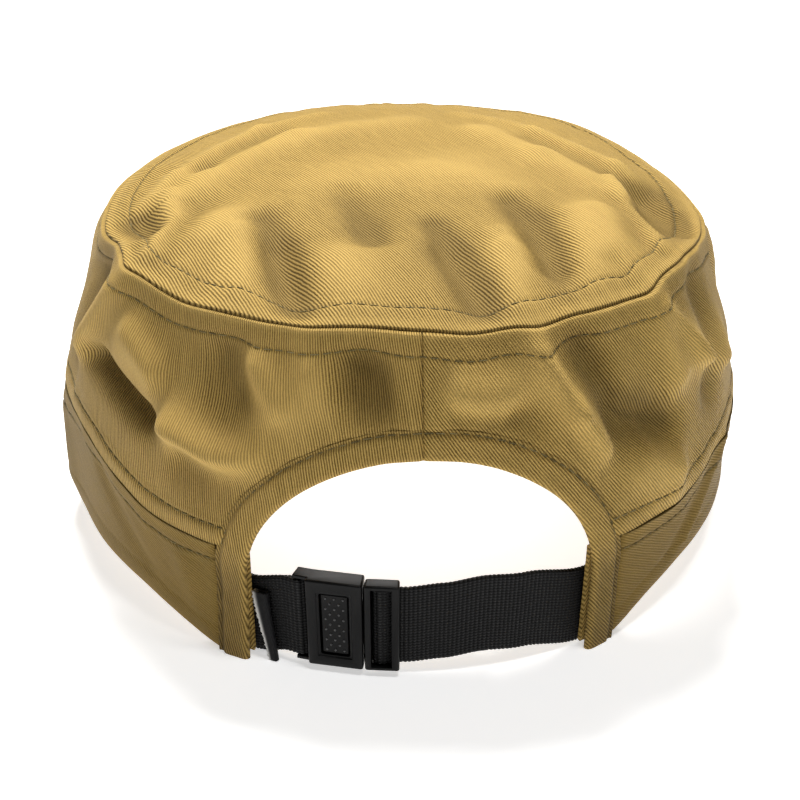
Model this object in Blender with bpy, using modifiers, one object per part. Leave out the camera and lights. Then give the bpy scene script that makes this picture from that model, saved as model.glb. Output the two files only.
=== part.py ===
"""A soft field cap of khaki cotton twill, with a band, a peak and a rear arch.

A webbing strap with a push-release buckle closes the arch. Metres, +Z up. The arch faces -Y,
the peak +Y. The origin is on the surface that the cap stands on, under the middle of its box.

Angles run round the cap in degrees, from 0 at the middle of the back, positive towards +X.
A level runs up the wall: -1 at the lower edge, 0 at the band seam and 1 at the crown seam.
"""
import math

import bmesh
import bpy

MM = 0.001

# The cap's oval at its lower edge, at the band seam and at the crown seam
RIM_WIDTH = 176 * MM
RIM_LENGTH = 206 * MM
SEAM_WIDTH = 178 * MM
SEAM_LENGTH = 215 * MM
CROWN_WIDTH = 153 * MM
CROWN_LENGTH = 178 * MM
CROWN_BACK_REACH = 74 * MM
CROWN_SETBACK = 20 * MM

# Heights above the surface that the cap stands on
BAND_HEIGHT = 36 * MM
BAND_BACK_DROP = 4.5 * MM
BAND_FRONT_RISE = 3.5 * MM
CROWN_HEIGHT = 84 * MM
CROWN_FRONT_DROP = 3 * MM
DOME_RISE = 8 * MM
SIDE_LIFT = 8.5 * MM
FRONT_LIFT = 12 * MM
WALL_BULGE = 1.5 * MM

# Angles where the lower edge leaves the surface, and where it has its full lift
LIFT_FROM = 27
LIFT_TO = 50

# Angles between which the band seam rises from its low back, and where the front begins
BAND_RISE_FROM = 30
BAND_RISE_TO = 62
FRONT_FROM = 110

# Angles where the wall comes down beside the arch, and where its columns grow wider
FLAP_ANGLE = 20
SIDE_ANGLE = 78

# The cloth lies flat for this many degrees on each side of the back seam
BACK_SEAM_FLAT = 1.5

# Cloth, and the gaps between its pieces
PANEL_CLOTH = 1.4 * MM
CROWN_CLOTH = 1.4 * MM
BAND_CLOTH = 1.6 * MM
SWEATBAND_CLOTH = 1.2 * MM
PEAK_CLOTH = 3 * MM
SEAM_GAP = 0.3 * MM
SEAM_GROOVE = 0.8 * MM
CROWN_OVERHANG = 0.5 * MM
LAYER_GAP = 0.4 * MM
FOLD_DEPTH = 3 * MM
FOLD_WIDTH = 8 * MM
SEAM_PUSH_FROM = 0.4

# The rear arch, and the hem of panel cloth that runs down each of its sides
ARCH_WIDTH = 80 * MM
ARCH_HEIGHT = 57 * MM
ARCH_STRAIGHT = 24 * MM
HEM_WIDTH = 6 * MM
SWEATBAND_PEEK = 1 * MM
SWEATBAND_DROP = 2 * MM

# The peak, which spans this many degrees on each side of the front
PEAK_DEPTH = 61 * MM
PEAK_SPREAD = 6 * MM
PEAK_ANGLE = 62
PEAK_TUCK = 3 * MM
PEAK_EDGE_HEIGHT = 12 * MM
PEAK_STEEPENING = 0.45

# The strap. Its webbing lies inside the flaps, against the sweatband
WEBBING_WIDTH = 21.2 * MM
WEBBING_THICK = 1.2 * MM
WEBBING_TUCK = 12 * MM
STRAP_HEIGHT = 13.6 * MM
STRAP_CLEARANCE = 0.5 * MM

# The buckle. Its places run along the strap, from 0 at the middle of the back
BUCKLE_HEIGHT = 24 * MM
BUCKLE_FACE = 2.6 * MM
BUCKLE_BACK = 3 * MM
BUCKLE_GAP = 0.8 * MM
BUCKLE_ROUND = 0.6 * MM
SOCKET_LEFT = -25.6 * MM
SOCKET_LENGTH = 12.2 * MM
SOCKET_WALL = 1.6 * MM
TONGUE_LENGTH = 7.8 * MM
BAR_WIDTH = 1.6 * MM
BAR_THICK = 1 * MM
SLOT_WIDTH = 1.7 * MM
CHEEK = 1 * MM
SOCKET_LOOP_REACH = 7 * MM
TONGUE_LOOP_REACH = 1.5 * MM
TONGUE_BAR_SHIFT = 0.3 * MM
TONGUE_BAR_RISE = 0.1 * MM
WINDOW_LENGTH = 6.8 * MM
WINDOW_HEIGHT = 17.3 * MM
WINDOW_SHIFT = 0.3 * MM
PAD_RECESS = 0.7 * MM
FIT = 0.4 * MM

# The bare label, a folded tape that hangs beside the left flap
LABEL_WIDTH = 4 * MM
LABEL_TOP = 19 * MM
LABEL_THICK = 0.5 * MM
LABEL_LEAN = 2.4 * MM
LABEL_OPENING = 1.1 * MM
LABEL_LIFT = 0.2 * MM
LABEL_CLEARANCE = 1.2 * MM
LABEL_NARROWING = 0.7

# The tape's way round its fold, in shares of its width and of the gap between its halves
LABEL_FOLD = (
    # along, out
    (0.00, 0.0),
    (0.60, 0.0),
    (0.88, 0.2),
    (1.00, 0.5),
    (0.88, 0.8),
    (0.60, 1.0),
    (0.00, 1.0),
)

# The cutters reach this far past what they cut
CUT_REACH = 30 * MM
FLOOR_TRIM = 1 * MM

# Folds of the wall: angle and level of both ends, then depth and width in shares of
# FOLD_DEPTH and FOLD_WIDTH. A positive depth is a ridge, a negative one is a hollow.
WALL_FOLDS = (
    # from_angle, from_level, to_angle, to_level, depth, width
    (-60, 0.98, -68, 0.50, 0.85, 0.75),
    (-77, 0.80, -77, 0.30, -0.95, 1.15),
    (-64, 0.45, -47, 0.42, -0.75, 0.50),
    (-54, 0.70, -47, 0.66, 0.70, 0.90),
    (-39, 0.50, -25, 0.38, 1.00, 0.80),
    (-33, 0.80, -31, 0.68, -0.60, 0.90),
    (-25, 0.84, -24, 0.66, 0.60, 0.80),
    (-19, 0.92, -18, 0.52, 0.60, 0.65),
    (-9, 0.80, -6, 0.58, -0.90, 0.95),
    (3, 0.82, 14, 0.76, 0.85, 0.75),
    (6, 0.58, 15, 0.56, -0.80, 0.75),
    (19, 0.92, 27, 0.44, 0.95, 0.70),
    (25, 0.88, 29, 0.76, -0.50, 0.80),
    (33, 0.52, 41, 0.44, -0.75, 0.85),
    (35, 0.26, 43, 0.14, 0.60, 0.80),
    (43, 0.98, 46, 0.60, 0.75, 0.65),
    (52, 0.66, 63, 0.50, 0.65, 0.90),
    (59, 0.88, 58, 0.36, -0.65, 0.75),
    (84, 0.68, 87, 0.46, -0.75, 1.30),
    (-88, 0.78, -90, 0.58, -0.25, 1.40),
    (-83, -0.30, -80, -0.80, 0.50, 1.20),
    (-104, 0.75, -112, 0.30, 0.60, 1.40),
    (-134, 0.70, -128, 0.25, -0.50, 1.50),
    (102, 0.70, 108, 0.25, 0.50, 1.30),
    (118, 0.70, 126, 0.30, -0.50, 1.50),
    (146, 0.60, 157, 0.55, 0.50, 1.40),
    (-145, 0.45, -156, 0.50, 0.45, 1.40),
)

# Folds of the crown: both ends in shares of its half width and of its reach from its middle,
# then depth and width as above
CROWN_FOLDS = (
    # from_across, from_along, to_across, to_along, depth, width
    (-0.90, -0.30, -0.68, 0.14, 0.55, 0.80),
    (-0.68, 0.14, -0.36, 0.40, 0.60, 0.80),
    (-0.36, 0.40, 0.06, 0.54, 0.40, 0.80),
    (0.30, 0.44, 0.50, 0.22, 0.55, 0.75),
    (0.50, 0.22, 0.84, -0.14, 0.60, 0.75),
    (-0.76, -0.05, -0.84, -0.55, -0.80, 0.90),
    (-0.58, -0.30, -0.60, -0.62, 0.65, 1.10),
    (-0.41, -0.50, -0.36, -0.92, -0.80, 0.70),
    (-0.22, -0.62, -0.18, -0.86, 0.55, 0.90),
    (-0.08, -0.15, -0.10, -0.42, -0.50, 0.95),
    (0.11, -0.58, 0.20, -0.96, -0.75, 0.80),
    (0.30, -0.60, 0.34, -0.86, 0.50, 0.80),
    (0.44, -0.30, 0.43, -0.84, -0.70, 0.75),
    (0.62, -0.26, 0.60, -0.66, 0.75, 0.85),
    (0.76, -0.14, 0.78, -0.52, -0.95, 0.75),
    (-0.20, 0.05, 0.20, 0.12, 0.40, 1.80),
)

# Dips and rises of the crown seam: rise and inset in shares of FOLD_DEPTH
CROWN_SEAM_DIPS = (
    # angle, rise, inset, degrees wide
    (-64, 1.00, 0.00, 12),
    (61, 1.00, 0.00, 12),
    (-74, 0.00, 1.10, 16),
    (74, 0.00, 0.70, 18),
    (-92, -0.75, 0.00, 16),
    (98, -0.35, 0.00, 14),
    (140, 0.50, -0.40, 18),
    (-44, -0.35, 0.30, 5),
    (-9, 0.30, 0.00, 9),
    (9, -0.40, 0.25, 5),
    (22, -0.40, 0.30, 4),
    (50, 0.40, 0.10, 6),
)

# Dips and rises of the band seam: rise in shares of FOLD_DEPTH
BAND_SEAM_DIPS = (
    # angle, rise, degrees wide
    (-67, 1.40, 11),
    (-44, -0.45, 7),
    (48, -0.50, 10),
)

# Rises of the lower edge in shares of SIDE_LIFT
RIM_RISES = (
    # angle, rise, degrees wide
    (38, 0.20, 6),
    (58, 0.32, 20),
    (-46, -0.14, 8),
    (-104, 0.10, 20),
)

# The peak from its middle, 0, to its end, 1: how far it reaches forward, in shares of
# PEAK_DEPTH, and how high its edge lies, in shares of PEAK_EDGE_HEIGHT
PEAK_SECTIONS = (
    # place, reach, edge_height
    (0.00, 1.00, 1.00),
    (0.20, 0.985, 0.91),
    (0.40, 0.935, 0.66),
    (0.60, 0.83, 0.35),
    (0.78, 0.62, 0.18),
    (0.92, 0.33, 0.34),
    (1.00, 0.08, 0.64),
)

# The strap's middle line: places in shares of half the arch's width, heights in shares
# of STRAP_HEIGHT
STRAP_LINE = (
    # place, height
    (-1.40, 0.83),
    (-1.00, 0.84),
    (-0.75, 1.00),
    (-0.10, 1.00),
    (0.12, 1.06),
    (0.35, 1.13),
    (0.60, 1.06),
    (1.00, 0.84),
    (1.40, 0.83),
)


def ramp(value, start, end):
    """0 before start, 1 after end and a smooth curve between them."""
    share = min(max((value - start) / (end - start), 0.0), 1.0)
    return share * share * (3 - 2 * share)


def mix(first, second, share):
    return first + (second - first) * share


def read_table(table, place, column):
    """A column of a table of sections, smooth between its rows."""
    for low, high in zip(table, table[1:]):
        if place <= high[0]:
            return mix(low[column], high[column], ramp(place, low[0], high[0]))
    return table[-1][column]


def steps(start, end, count):
    return [mix(start, end, i / count) for i in range(count + 1)]


def folds_at(table, across, along, span_across, span_along):
    """How far the folds of a table lift the cloth at a place."""
    lift = 0.0
    for from_across, from_along, to_across, to_along, depth, width in table:
        run_x = (to_across - from_across) * span_across
        run_y = (to_along - from_along) * span_along
        gone_x = (across - from_across) * span_across
        gone_y = (along - from_along) * span_along
        share = (gone_x * run_x + gone_y * run_y) / (run_x ** 2 + run_y ** 2)
        share = min(max(share, 0.0), 1.0)
        away = math.hypot(gone_x - share * run_x, gone_y - share * run_y)
        lift += depth * FOLD_DEPTH * math.exp(-((away / (width * FOLD_WIDTH)) ** 2))
    return lift


def front_share(angle):
    """0 at the back and the sides, 1 at the front."""
    return ramp(abs(angle), FRONT_FROM, 180)


def lower_edge(angle):
    """Height of the cap's lower edge. The flaps reach below the surface, and are trimmed to it."""
    lift = mix(-FLOOR_TRIM, SIDE_LIFT, ramp(abs(angle), LIFT_FROM, LIFT_TO))
    for place, rise, width in RIM_RISES:
        lift += rise * SIDE_LIFT * math.exp(-(((angle - place) / width) ** 2))
    return lift + (FRONT_LIFT - SIDE_LIFT) * front_share(angle)


def band_seam(angle):
    height = BAND_HEIGHT - BAND_BACK_DROP * (1 - ramp(abs(angle), BAND_RISE_FROM, BAND_RISE_TO))
    height += BAND_FRONT_RISE * front_share(angle)
    for place, rise, width in BAND_SEAM_DIPS:
        height += rise * FOLD_DEPTH * math.exp(-(((angle - place) / width) ** 2))
    return height


def crown_seam(angle):
    """Height and inset of the crown seam."""
    height = CROWN_HEIGHT - CROWN_FRONT_DROP * math.sin(math.radians(angle) / 2) ** 4
    inset = 0.0
    for place, rise, push, width in CROWN_SEAM_DIPS:
        share = FOLD_DEPTH * math.exp(-(((angle - place) / width) ** 2))
        height += rise * share
        inset += push * share
    return height, inset


def oval(level):
    """Half width, reach behind, reach ahead and middle of the cap's oval at a level."""
    seam = (SEAM_WIDTH / 2, SEAM_LENGTH / 2, SEAM_LENGTH / 2, 0.0)
    if level < 0:
        rim = (RIM_WIDTH / 2, RIM_LENGTH / 2, RIM_LENGTH / 2, 0.0)
        return [mix(outer, inner, -level) for outer, inner in zip(seam, rim)]
    crown = (CROWN_WIDTH / 2, CROWN_BACK_REACH, CROWN_LENGTH - CROWN_BACK_REACH, -CROWN_SETBACK)
    bulge = WALL_BULGE * math.sin(math.pi * min(level, 1.0))
    half_width, behind, ahead, middle = [mix(*pair, level) for pair in zip(seam, crown)]
    return half_width + bulge, behind + bulge, ahead + bulge, middle


def wall_point(angle, level, inset=0.0):
    """A point of the wall's outer face, or one that lies deeper by the inset."""
    angle = (angle + 180) % 360 - 180
    half_width, behind, ahead, middle = oval(level)
    turn = math.radians(angle)
    reach = behind if math.cos(turn) > 0 else ahead
    top, pushed_in = crown_seam(angle)
    seam = band_seam(angle)
    height = mix(seam, lower_edge(angle), -level) if level < 0 else mix(seam, top, level)
    out_x = math.sin(turn) * reach
    out_y = -math.cos(turn) * half_width
    length = math.hypot(out_x, out_y)
    round_length = math.radians(1) * (SEAM_WIDTH + SEAM_LENGTH) / 4
    lift = folds_at(WALL_FOLDS, angle, level, round_length, CROWN_HEIGHT - BAND_HEIGHT)
    lift *= ramp(abs(angle), BACK_SEAM_FLAT, 4 * BACK_SEAM_FLAT)
    lift -= inset + pushed_in * ramp(level, SEAM_PUSH_FROM, 1)
    x = half_width * math.sin(turn) + lift * out_x / length
    y = middle - reach * math.cos(turn) + lift * out_y / length
    return x, y, height


def crown_point(across, along):
    """A point of the crown, from a place in a square of -1 to 1."""
    x = across * math.sqrt(1 - along ** 2 / 2)
    y = along * math.sqrt(1 - across ** 2 / 2)
    share = min(math.hypot(x, y), 1.0)
    angle = math.degrees(math.atan2(x, -y))
    edge_x, edge_y, edge_z = wall_point(angle, 1, -CROWN_OVERHANG)
    height = CROWN_HEIGHT + DOME_RISE * (1 - share ** 4) + (edge_z - CROWN_HEIGHT) * share ** 3
    reach = CROWN_BACK_REACH if y < 0 else CROWN_LENGTH - CROWN_BACK_REACH
    fade = 1 - share ** 8
    height += fade * folds_at(CROWN_FOLDS, x, y, CROWN_WIDTH / 2, reach)
    return edge_x * share, mix(-CROWN_SETBACK, edge_y, share), height


def strap_inset():
    """How far the strap's middle line lies inside the rim."""
    layers = max(PANEL_CLOTH, BAND_CLOTH) + LAYER_GAP + SWEATBAND_CLOTH
    return layers + STRAP_CLEARANCE + WEBBING_THICK / 2


def strap_radius():
    """Radius of the arc that meets the oval inside the rim at the back and behind the flaps."""
    half_width = RIM_WIDTH / 2 - strap_inset()
    half_length = RIM_LENGTH / 2 - strap_inset()
    x = ARCH_WIDTH / 2 + WEBBING_TUCK / 2
    sag = half_length * (1 - math.sqrt(1 - (x / half_width) ** 2))
    return (x ** 2 + sag ** 2) / (2 * sag)


def strap_point(along, out, height):
    """A place along the strap, out from its middle line and up, as a point of the cap."""
    radius = strap_radius()
    tucked = (ARCH_WIDTH / 2 + WEBBING_TUCK) / (RIM_WIDTH / 2)
    lean = (SEAM_LENGTH - RIM_LENGTH) / 2 / BAND_HEIGHT * (1 - tucked ** 2)
    distance = radius + out + lean * height
    middle = radius - RIM_LENGTH / 2 + strap_inset()
    return distance * math.sin(along / radius), middle - distance * math.cos(along / radius), height


def strap_middle(along):
    return STRAP_HEIGHT * read_table(STRAP_LINE, along / (ARCH_WIDTH / 2), 1)


def new_object(name, mesh, collection, material=None):
    obj = bpy.data.objects.new(name, mesh)
    collection.objects.link(obj)
    if material:
        mesh.materials.append(material)
    return obj


def helper(name, mesh, cutters):
    """A cutter or a piece that is joined to another, which isn't rendered."""
    obj = new_object(name, mesh, cutters)
    obj.hide_render = True
    obj.display_type = "WIRE"
    return obj


def sheet_mesh(name, across, up, point, keep=None):
    """Open cloth lofted through a row of points for each value of across."""
    bm = bmesh.new()
    columns = [[bm.verts.new(point(a, u)) for u in up] for a in across]
    for i, (left, right) in enumerate(zip(columns, columns[1:])):
        for j in range(len(up) - 1):
            if keep is None or keep(across[i], across[i + 1], up[j], up[j + 1]):
                bm.faces.new((left[j], right[j], right[j + 1], left[j + 1]))
    loose = [v for v in bm.verts if not v.link_faces]
    bmesh.ops.delete(bm, geom=loose, context="VERTS")
    return finished_mesh(name, bm)


def finished_mesh(name, bm):
    mesh = bpy.data.meshes.new(name)
    bm.to_mesh(mesh)
    bm.free()
    return mesh


def box_mesh(name, low, high, rounding=0.0):
    """A block between two corners, with its edges rounded by one face."""
    bm = bmesh.new()
    bmesh.ops.create_cube(bm, size=1)
    for vert in bm.verts:
        vert.co = [mix(a, b, share + 0.5) for a, b, share in zip(low, high, vert.co)]
    if rounding:
        bmesh.ops.bevel(bm, geom=bm.edges[:], offset=rounding, segments=1, affect="EDGES")
    return finished_mesh(name, bm)


def thicken(obj, thickness, offset=-1.0):
    shell = obj.modifiers.new("thickness", "SOLIDIFY")
    shell.thickness = thickness
    shell.offset = offset
    return obj


def boolean(obj, other, operation="DIFFERENCE"):
    cut = obj.modifiers.new(other.name, "BOOLEAN")
    cut.operation = operation
    cut.object = other


def bend_to_strap(obj):
    """Lays a piece that was built straight, with its modifiers applied, along the strap."""
    graph = bpy.context.evaluated_depsgraph_get()
    mesh = bpy.data.meshes.new_from_object(obj.evaluated_get(graph))
    obj.modifiers.clear()
    obj.data = mesh
    for vert in mesh.vertices:
        vert.co = strap_point(*vert.co)
    # The way out from the strap is -Y, so the piece was built as its own mirror image.
    mesh.flip_normals()


def hem_angle():
    """Angle at which the hem beside the arch ends and the band starts."""
    return math.degrees(math.asin((ARCH_WIDTH / 2 + HEM_WIDTH) / (RIM_WIDTH / 2)))


def round_angles(start):
    """The angles from the hem round to the front, which all layers of the wall share."""
    columns = 14
    return [start] + steps(hem_angle(), SIDE_ANGLE, columns)[1:] + steps(SIDE_ANGLE, 180, columns)[1:]


def whole_round(start):
    """The way from one side of the arch round the front to the other."""
    half = round_angles(start)
    return half + [360 - angle for angle in half[-2::-1]]


def make_arch_cutter(cutters):
    """The arch's outline, pushed through the back of the cap."""
    turns = steps(0, 180, 28)
    rise = ARCH_HEIGHT - ARCH_STRAIGHT
    outline = [
        (ARCH_WIDTH / 2 * math.cos(math.radians(t)), ARCH_STRAIGHT + rise * math.sin(math.radians(t)))
        for t in turns
    ]
    outline.append((-ARCH_WIDTH / 2, -CUT_REACH))
    outline.append((ARCH_WIDTH / 2, -CUT_REACH))
    bm = bmesh.new()
    back = -SEAM_LENGTH / 2 - CUT_REACH
    face = bm.faces.new([bm.verts.new((x, back, z)) for x, z in outline])
    pushed = bmesh.ops.extrude_face_region(bm, geom=[face])
    for element in pushed["geom"]:
        if isinstance(element, bmesh.types.BMVert):
            element.co.y = -CROWN_SETBACK - CUT_REACH
    bmesh.ops.recalc_face_normals(bm, faces=bm.faces[:])
    return helper("arch_cutter", finished_mesh("arch_cutter", bm), cutters)


def make_floor_cutter(cutters):
    reach = SEAM_LENGTH + PEAK_DEPTH
    mesh = box_mesh("floor_cutter", (-reach, -reach, -CUT_REACH), (reach, reach, 0.0))
    return helper("floor_cutter", mesh, cutters)


def make_side_panel(name, sign, collection, material, arch, floor):
    """One half of the wall, with the hem that runs down beside the arch."""
    gap = math.degrees(SEAM_GAP / 2 / (CROWN_LENGTH / 2))
    hem = hem_angle()
    angles = [gap] + steps(BACK_SEAM_FLAT, FLAP_ANGLE, 6) + steps(FLAP_ANGLE, hem, 4)[1:-1]
    angles += round_angles(hem)[:-1] + [180 - gap]
    top_gap = (CROWN_CLOTH + SEAM_GAP) / (CROWN_HEIGHT - BAND_HEIGHT)
    seam_gap = SEAM_GROOVE / (CROWN_HEIGHT - BAND_HEIGHT)
    levels = steps(-1, 0, 3)[:-1] + [seam_gap] + steps(0, 1 - top_gap, 9)[1:]
    if sign < 0:
        angles = angles[::-1]

    def keep(first, second, low, high):
        return low > 0 or (max(first, second) <= hem + gap and min(first, second) >= FLAP_ANGLE - gap)

    def point(angle, level):
        return wall_point(sign * angle, level)

    mesh = sheet_mesh(name, angles, levels, point, keep)
    panel = thicken(new_object(name, mesh, collection, material), PANEL_CLOTH)
    boolean(panel, arch)
    boolean(panel, floor)
    return panel


def make_band(collection, material, floor):
    gap = math.degrees(SEAM_GAP / (RIM_WIDTH / 2))
    levels = steps(-1, -SEAM_GROOVE / 2 / BAND_HEIGHT, 4)
    mesh = sheet_mesh("band", whole_round(hem_angle() + gap), levels, wall_point)
    band = new_object("band", mesh, collection, material)
    thicken(band, BAND_CLOTH)
    boolean(band, floor)
    return band


def make_sweatband(collection, material, floor):
    """The inner band, whose ends show beside the arch."""
    inset = max(PANEL_CLOTH, BAND_CLOTH) + LAYER_GAP
    half_width = RIM_WIDTH / 2 - inset
    start = math.degrees(math.asin((ARCH_WIDTH / 2 - SWEATBAND_PEEK) / half_width))
    drop = SWEATBAND_DROP / BAND_HEIGHT
    levels = steps(-1 + drop / 2, -drop, 3)

    def point(angle, level):
        return wall_point(angle, level, inset)

    mesh = sheet_mesh("sweatband", whole_round(start), levels, point)
    sweatband = thicken(new_object("sweatband", mesh, collection, material), SWEATBAND_CLOTH)
    boolean(sweatband, floor)
    return sweatband


def make_crown_top(collection, material):
    cells = 24
    bm = bmesh.new()
    bmesh.ops.create_grid(bm, x_segments=cells, y_segments=cells, size=1)
    for vert in bm.verts:
        vert.co = crown_point(vert.co.x, vert.co.y)
    mesh = finished_mesh("crown_top", bm)
    return thicken(new_object("crown_top", mesh, collection, material), CROWN_CLOTH)


def peak_point(place, row):
    """A point of the peak's upper face. A row of 0 is at the band and 1 at the peak's edge."""
    angle = 180 - place * PEAK_ANGLE
    root_x, root_y, root_z = wall_point(angle, -1)
    depth = PEAK_DEPTH * read_table(PEAK_SECTIONS, abs(place), 1)
    edge_z = PEAK_EDGE_HEIGHT * read_table(PEAK_SECTIONS, abs(place), 2)
    root_z -= SEAM_GAP
    if row < 0:
        tucked_x, tucked_y, _ = wall_point(angle, -1, PEAK_TUCK)
        return tucked_x, tucked_y, root_z
    drop = mix(row, row ** 2, PEAK_STEEPENING)
    return root_x + PEAK_SPREAD * place * row, root_y + depth * row, mix(root_z, edge_z, drop)


def make_peak(collection, material, floor):
    rows = [-1.0] + steps(0, 1, 6)
    mesh = sheet_mesh("peak", steps(1, -1, 26), rows, peak_point)
    mesh.flip_normals()
    peak = thicken(new_object("peak", mesh, collection, material), PEAK_CLOTH)
    boolean(peak, floor)
    return peak


def make_ribbon(name, line, collection, material):
    """Webbing along a line of places and outward offsets, as wide as WEBBING_WIDTH."""
    def point(index, side):
        along, out = line[index]
        return along, out, strap_middle(along) + side * WEBBING_WIDTH / 2

    mesh = sheet_mesh(name, list(range(len(line))), [-1, 0, 1], point)
    ribbon = thicken(new_object(name, mesh, collection, material), WEBBING_THICK, 0.0)
    ribbon.modifiers["thickness"].use_even_offset = True
    bend_to_strap(ribbon)
    return ribbon


def bar_loop(bar, turn_side, front, back):
    """Three places each for the way over a bar, round its end and back behind it."""
    reach = BAR_WIDTH / 2 + WEBBING_THICK / 2 + (SLOT_WIDTH - WEBBING_THICK) / 2
    middle = (front + back) / 2
    half = (front - back) / 2
    turns = [turn_side * angle for angle in (0, 24, 55, 90, 125, 156, 180)]
    return [
        (bar + reach * math.sin(math.radians(t)), middle + half * math.cos(math.radians(t)))
        for t in turns
    ]


def make_webbing_left(collection, material):
    """Sewn behind the left flap and doubled over the socket's bar."""
    end = -ARCH_WIDTH / 2 - WEBBING_TUCK
    bar = SOCKET_LEFT - SLOT_WIDTH - BAR_WIDTH / 2
    layer = WEBBING_THICK + SEAM_GAP
    clear = BAR_THICK / 2 + WEBBING_THICK / 2 + FIT
    middle = -layer / 2
    start = bar - SOCKET_LOOP_REACH
    half = bar - SOCKET_LOOP_REACH / 2
    near = bar - SOCKET_LOOP_REACH / 4
    line = [(place, 0.0) for place in steps(end, start, 9)]
    line += [(half, 0.1 * layer), (near, 0.7 * (clear + middle))]
    line += bar_loop(bar, 1, middle + clear, middle - clear)
    line += [(near, middle - 0.8 * clear), (half, -1.1 * layer)]
    line += [(place, -layer) for place in steps(start, end + WEBBING_TUCK / 2, 7)]
    return make_ribbon("webbing_left", line, collection, material)


def tongue_right():
    return SOCKET_LEFT + SOCKET_LENGTH + BUCKLE_GAP + TONGUE_LENGTH


def tongue_bar():
    """Middle of the tongue's bar."""
    return tongue_right() - TONGUE_LENGTH / 2 - TONGUE_BAR_SHIFT


def tongue_bar_out():
    """How far the tongue's bar lies behind the strap's middle line."""
    return TONGUE_BAR_RISE - BAR_THICK / 2


def make_webbing_right(collection, material):
    """Sewn behind the right flap, over the tongue's bar and back as a short tail."""
    end = ARCH_WIDTH / 2 + WEBBING_TUCK
    bar = tongue_bar()
    clear = BAR_THICK / 2 + WEBBING_THICK / 2 + FIT
    front = tongue_bar_out() + clear
    back = tongue_bar_out() - clear
    layer = WEBBING_THICK + SEAM_GAP
    line = [(place, 0.0) for place in steps(end, tongue_right() + TONGUE_LOOP_REACH, 16)]
    line += [(bar + BAR_WIDTH * 1.6, 0.1 * front), (bar + BAR_WIDTH * 0.8, 0.75 * front)]
    line += bar_loop(bar, -1, front, back)
    line += [(bar + BAR_WIDTH, back), (tongue_right(), -1.05 * layer)]
    line += [(place, -layer) for place in steps(tongue_right() + 2 * TONGUE_LOOP_REACH, ARCH_WIDTH / 5, 5)]
    return make_ribbon("webbing_right", line, collection, material)


def buckle_base():
    return STRAP_HEIGHT - BUCKLE_HEIGHT / 2


def buckle_top():
    return STRAP_HEIGHT + BUCKLE_HEIGHT / 2


def bar_block(name, bar, out, low, high, cutters):
    """A bar across a slot, from one cheek to the other."""
    corner = (bar - BAR_WIDTH / 2, out - BAR_THICK / 2, low)
    return helper(name, box_mesh(name, corner, (bar + BAR_WIDTH / 2, out + BAR_THICK / 2, high)), cutters)


def make_socket(collection, cutters, material):
    """The half that the tongue clicks into, with a window for the push pad."""
    right = SOCKET_LEFT + SOCKET_LENGTH
    base = buckle_base()
    top = buckle_top()
    low = (SOCKET_LEFT, -BUCKLE_BACK, base)
    mesh = box_mesh("buckle_socket", low, (right, BUCKLE_FACE, top), BUCKLE_ROUND)
    socket = new_object("buckle_socket", mesh, collection, material)

    bar = SOCKET_LEFT - SLOT_WIDTH - BAR_WIDTH / 2
    bar_out = -(WEBBING_THICK + SEAM_GAP) / 2
    cheek_left = bar - BAR_WIDTH / 2
    for name, z in (("socket_cheek_low", base), ("socket_cheek_high", top - CHEEK)):
        corner = (cheek_left, bar_out - 2 * BAR_THICK, z)
        far = (SOCKET_LEFT + SOCKET_WALL, bar_out + 2 * BAR_THICK, z + CHEEK)
        boolean(socket, helper(name, box_mesh(name, corner, far, BUCKLE_ROUND / 2), cutters), "UNION")
    bar_ends = (base + CHEEK / 2, top - CHEEK / 2)
    boolean(socket, bar_block("socket_bar", bar, bar_out, *bar_ends, cutters), "UNION")

    pocket_low = (SOCKET_LEFT + SOCKET_WALL, SOCKET_WALL - BUCKLE_BACK, base + SOCKET_WALL)
    pocket_high = (right + CUT_REACH, BUCKLE_FACE - SOCKET_WALL, top - SOCKET_WALL)
    boolean(socket, helper("socket_pocket", box_mesh("socket_pocket", pocket_low, pocket_high), cutters))
    window = window_corners(0.0, 0.0, BUCKLE_FACE + CUT_REACH)
    boolean(socket, helper("socket_window", box_mesh("socket_window", *window, BUCKLE_ROUND), cutters))
    bend_to_strap(socket)
    return socket


def window_corners(shrink, back, front):
    """The push pad's window, or the pad inside it, smaller all round by the shrink."""
    middle = SOCKET_LEFT + SOCKET_LENGTH / 2 + WINDOW_SHIFT
    low = (middle - WINDOW_LENGTH / 2 + shrink, back, STRAP_HEIGHT - WINDOW_HEIGHT / 2 + shrink)
    high = (middle + WINDOW_LENGTH / 2 - shrink, front, STRAP_HEIGHT + WINDOW_HEIGHT / 2 - shrink)
    return low, high


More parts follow.
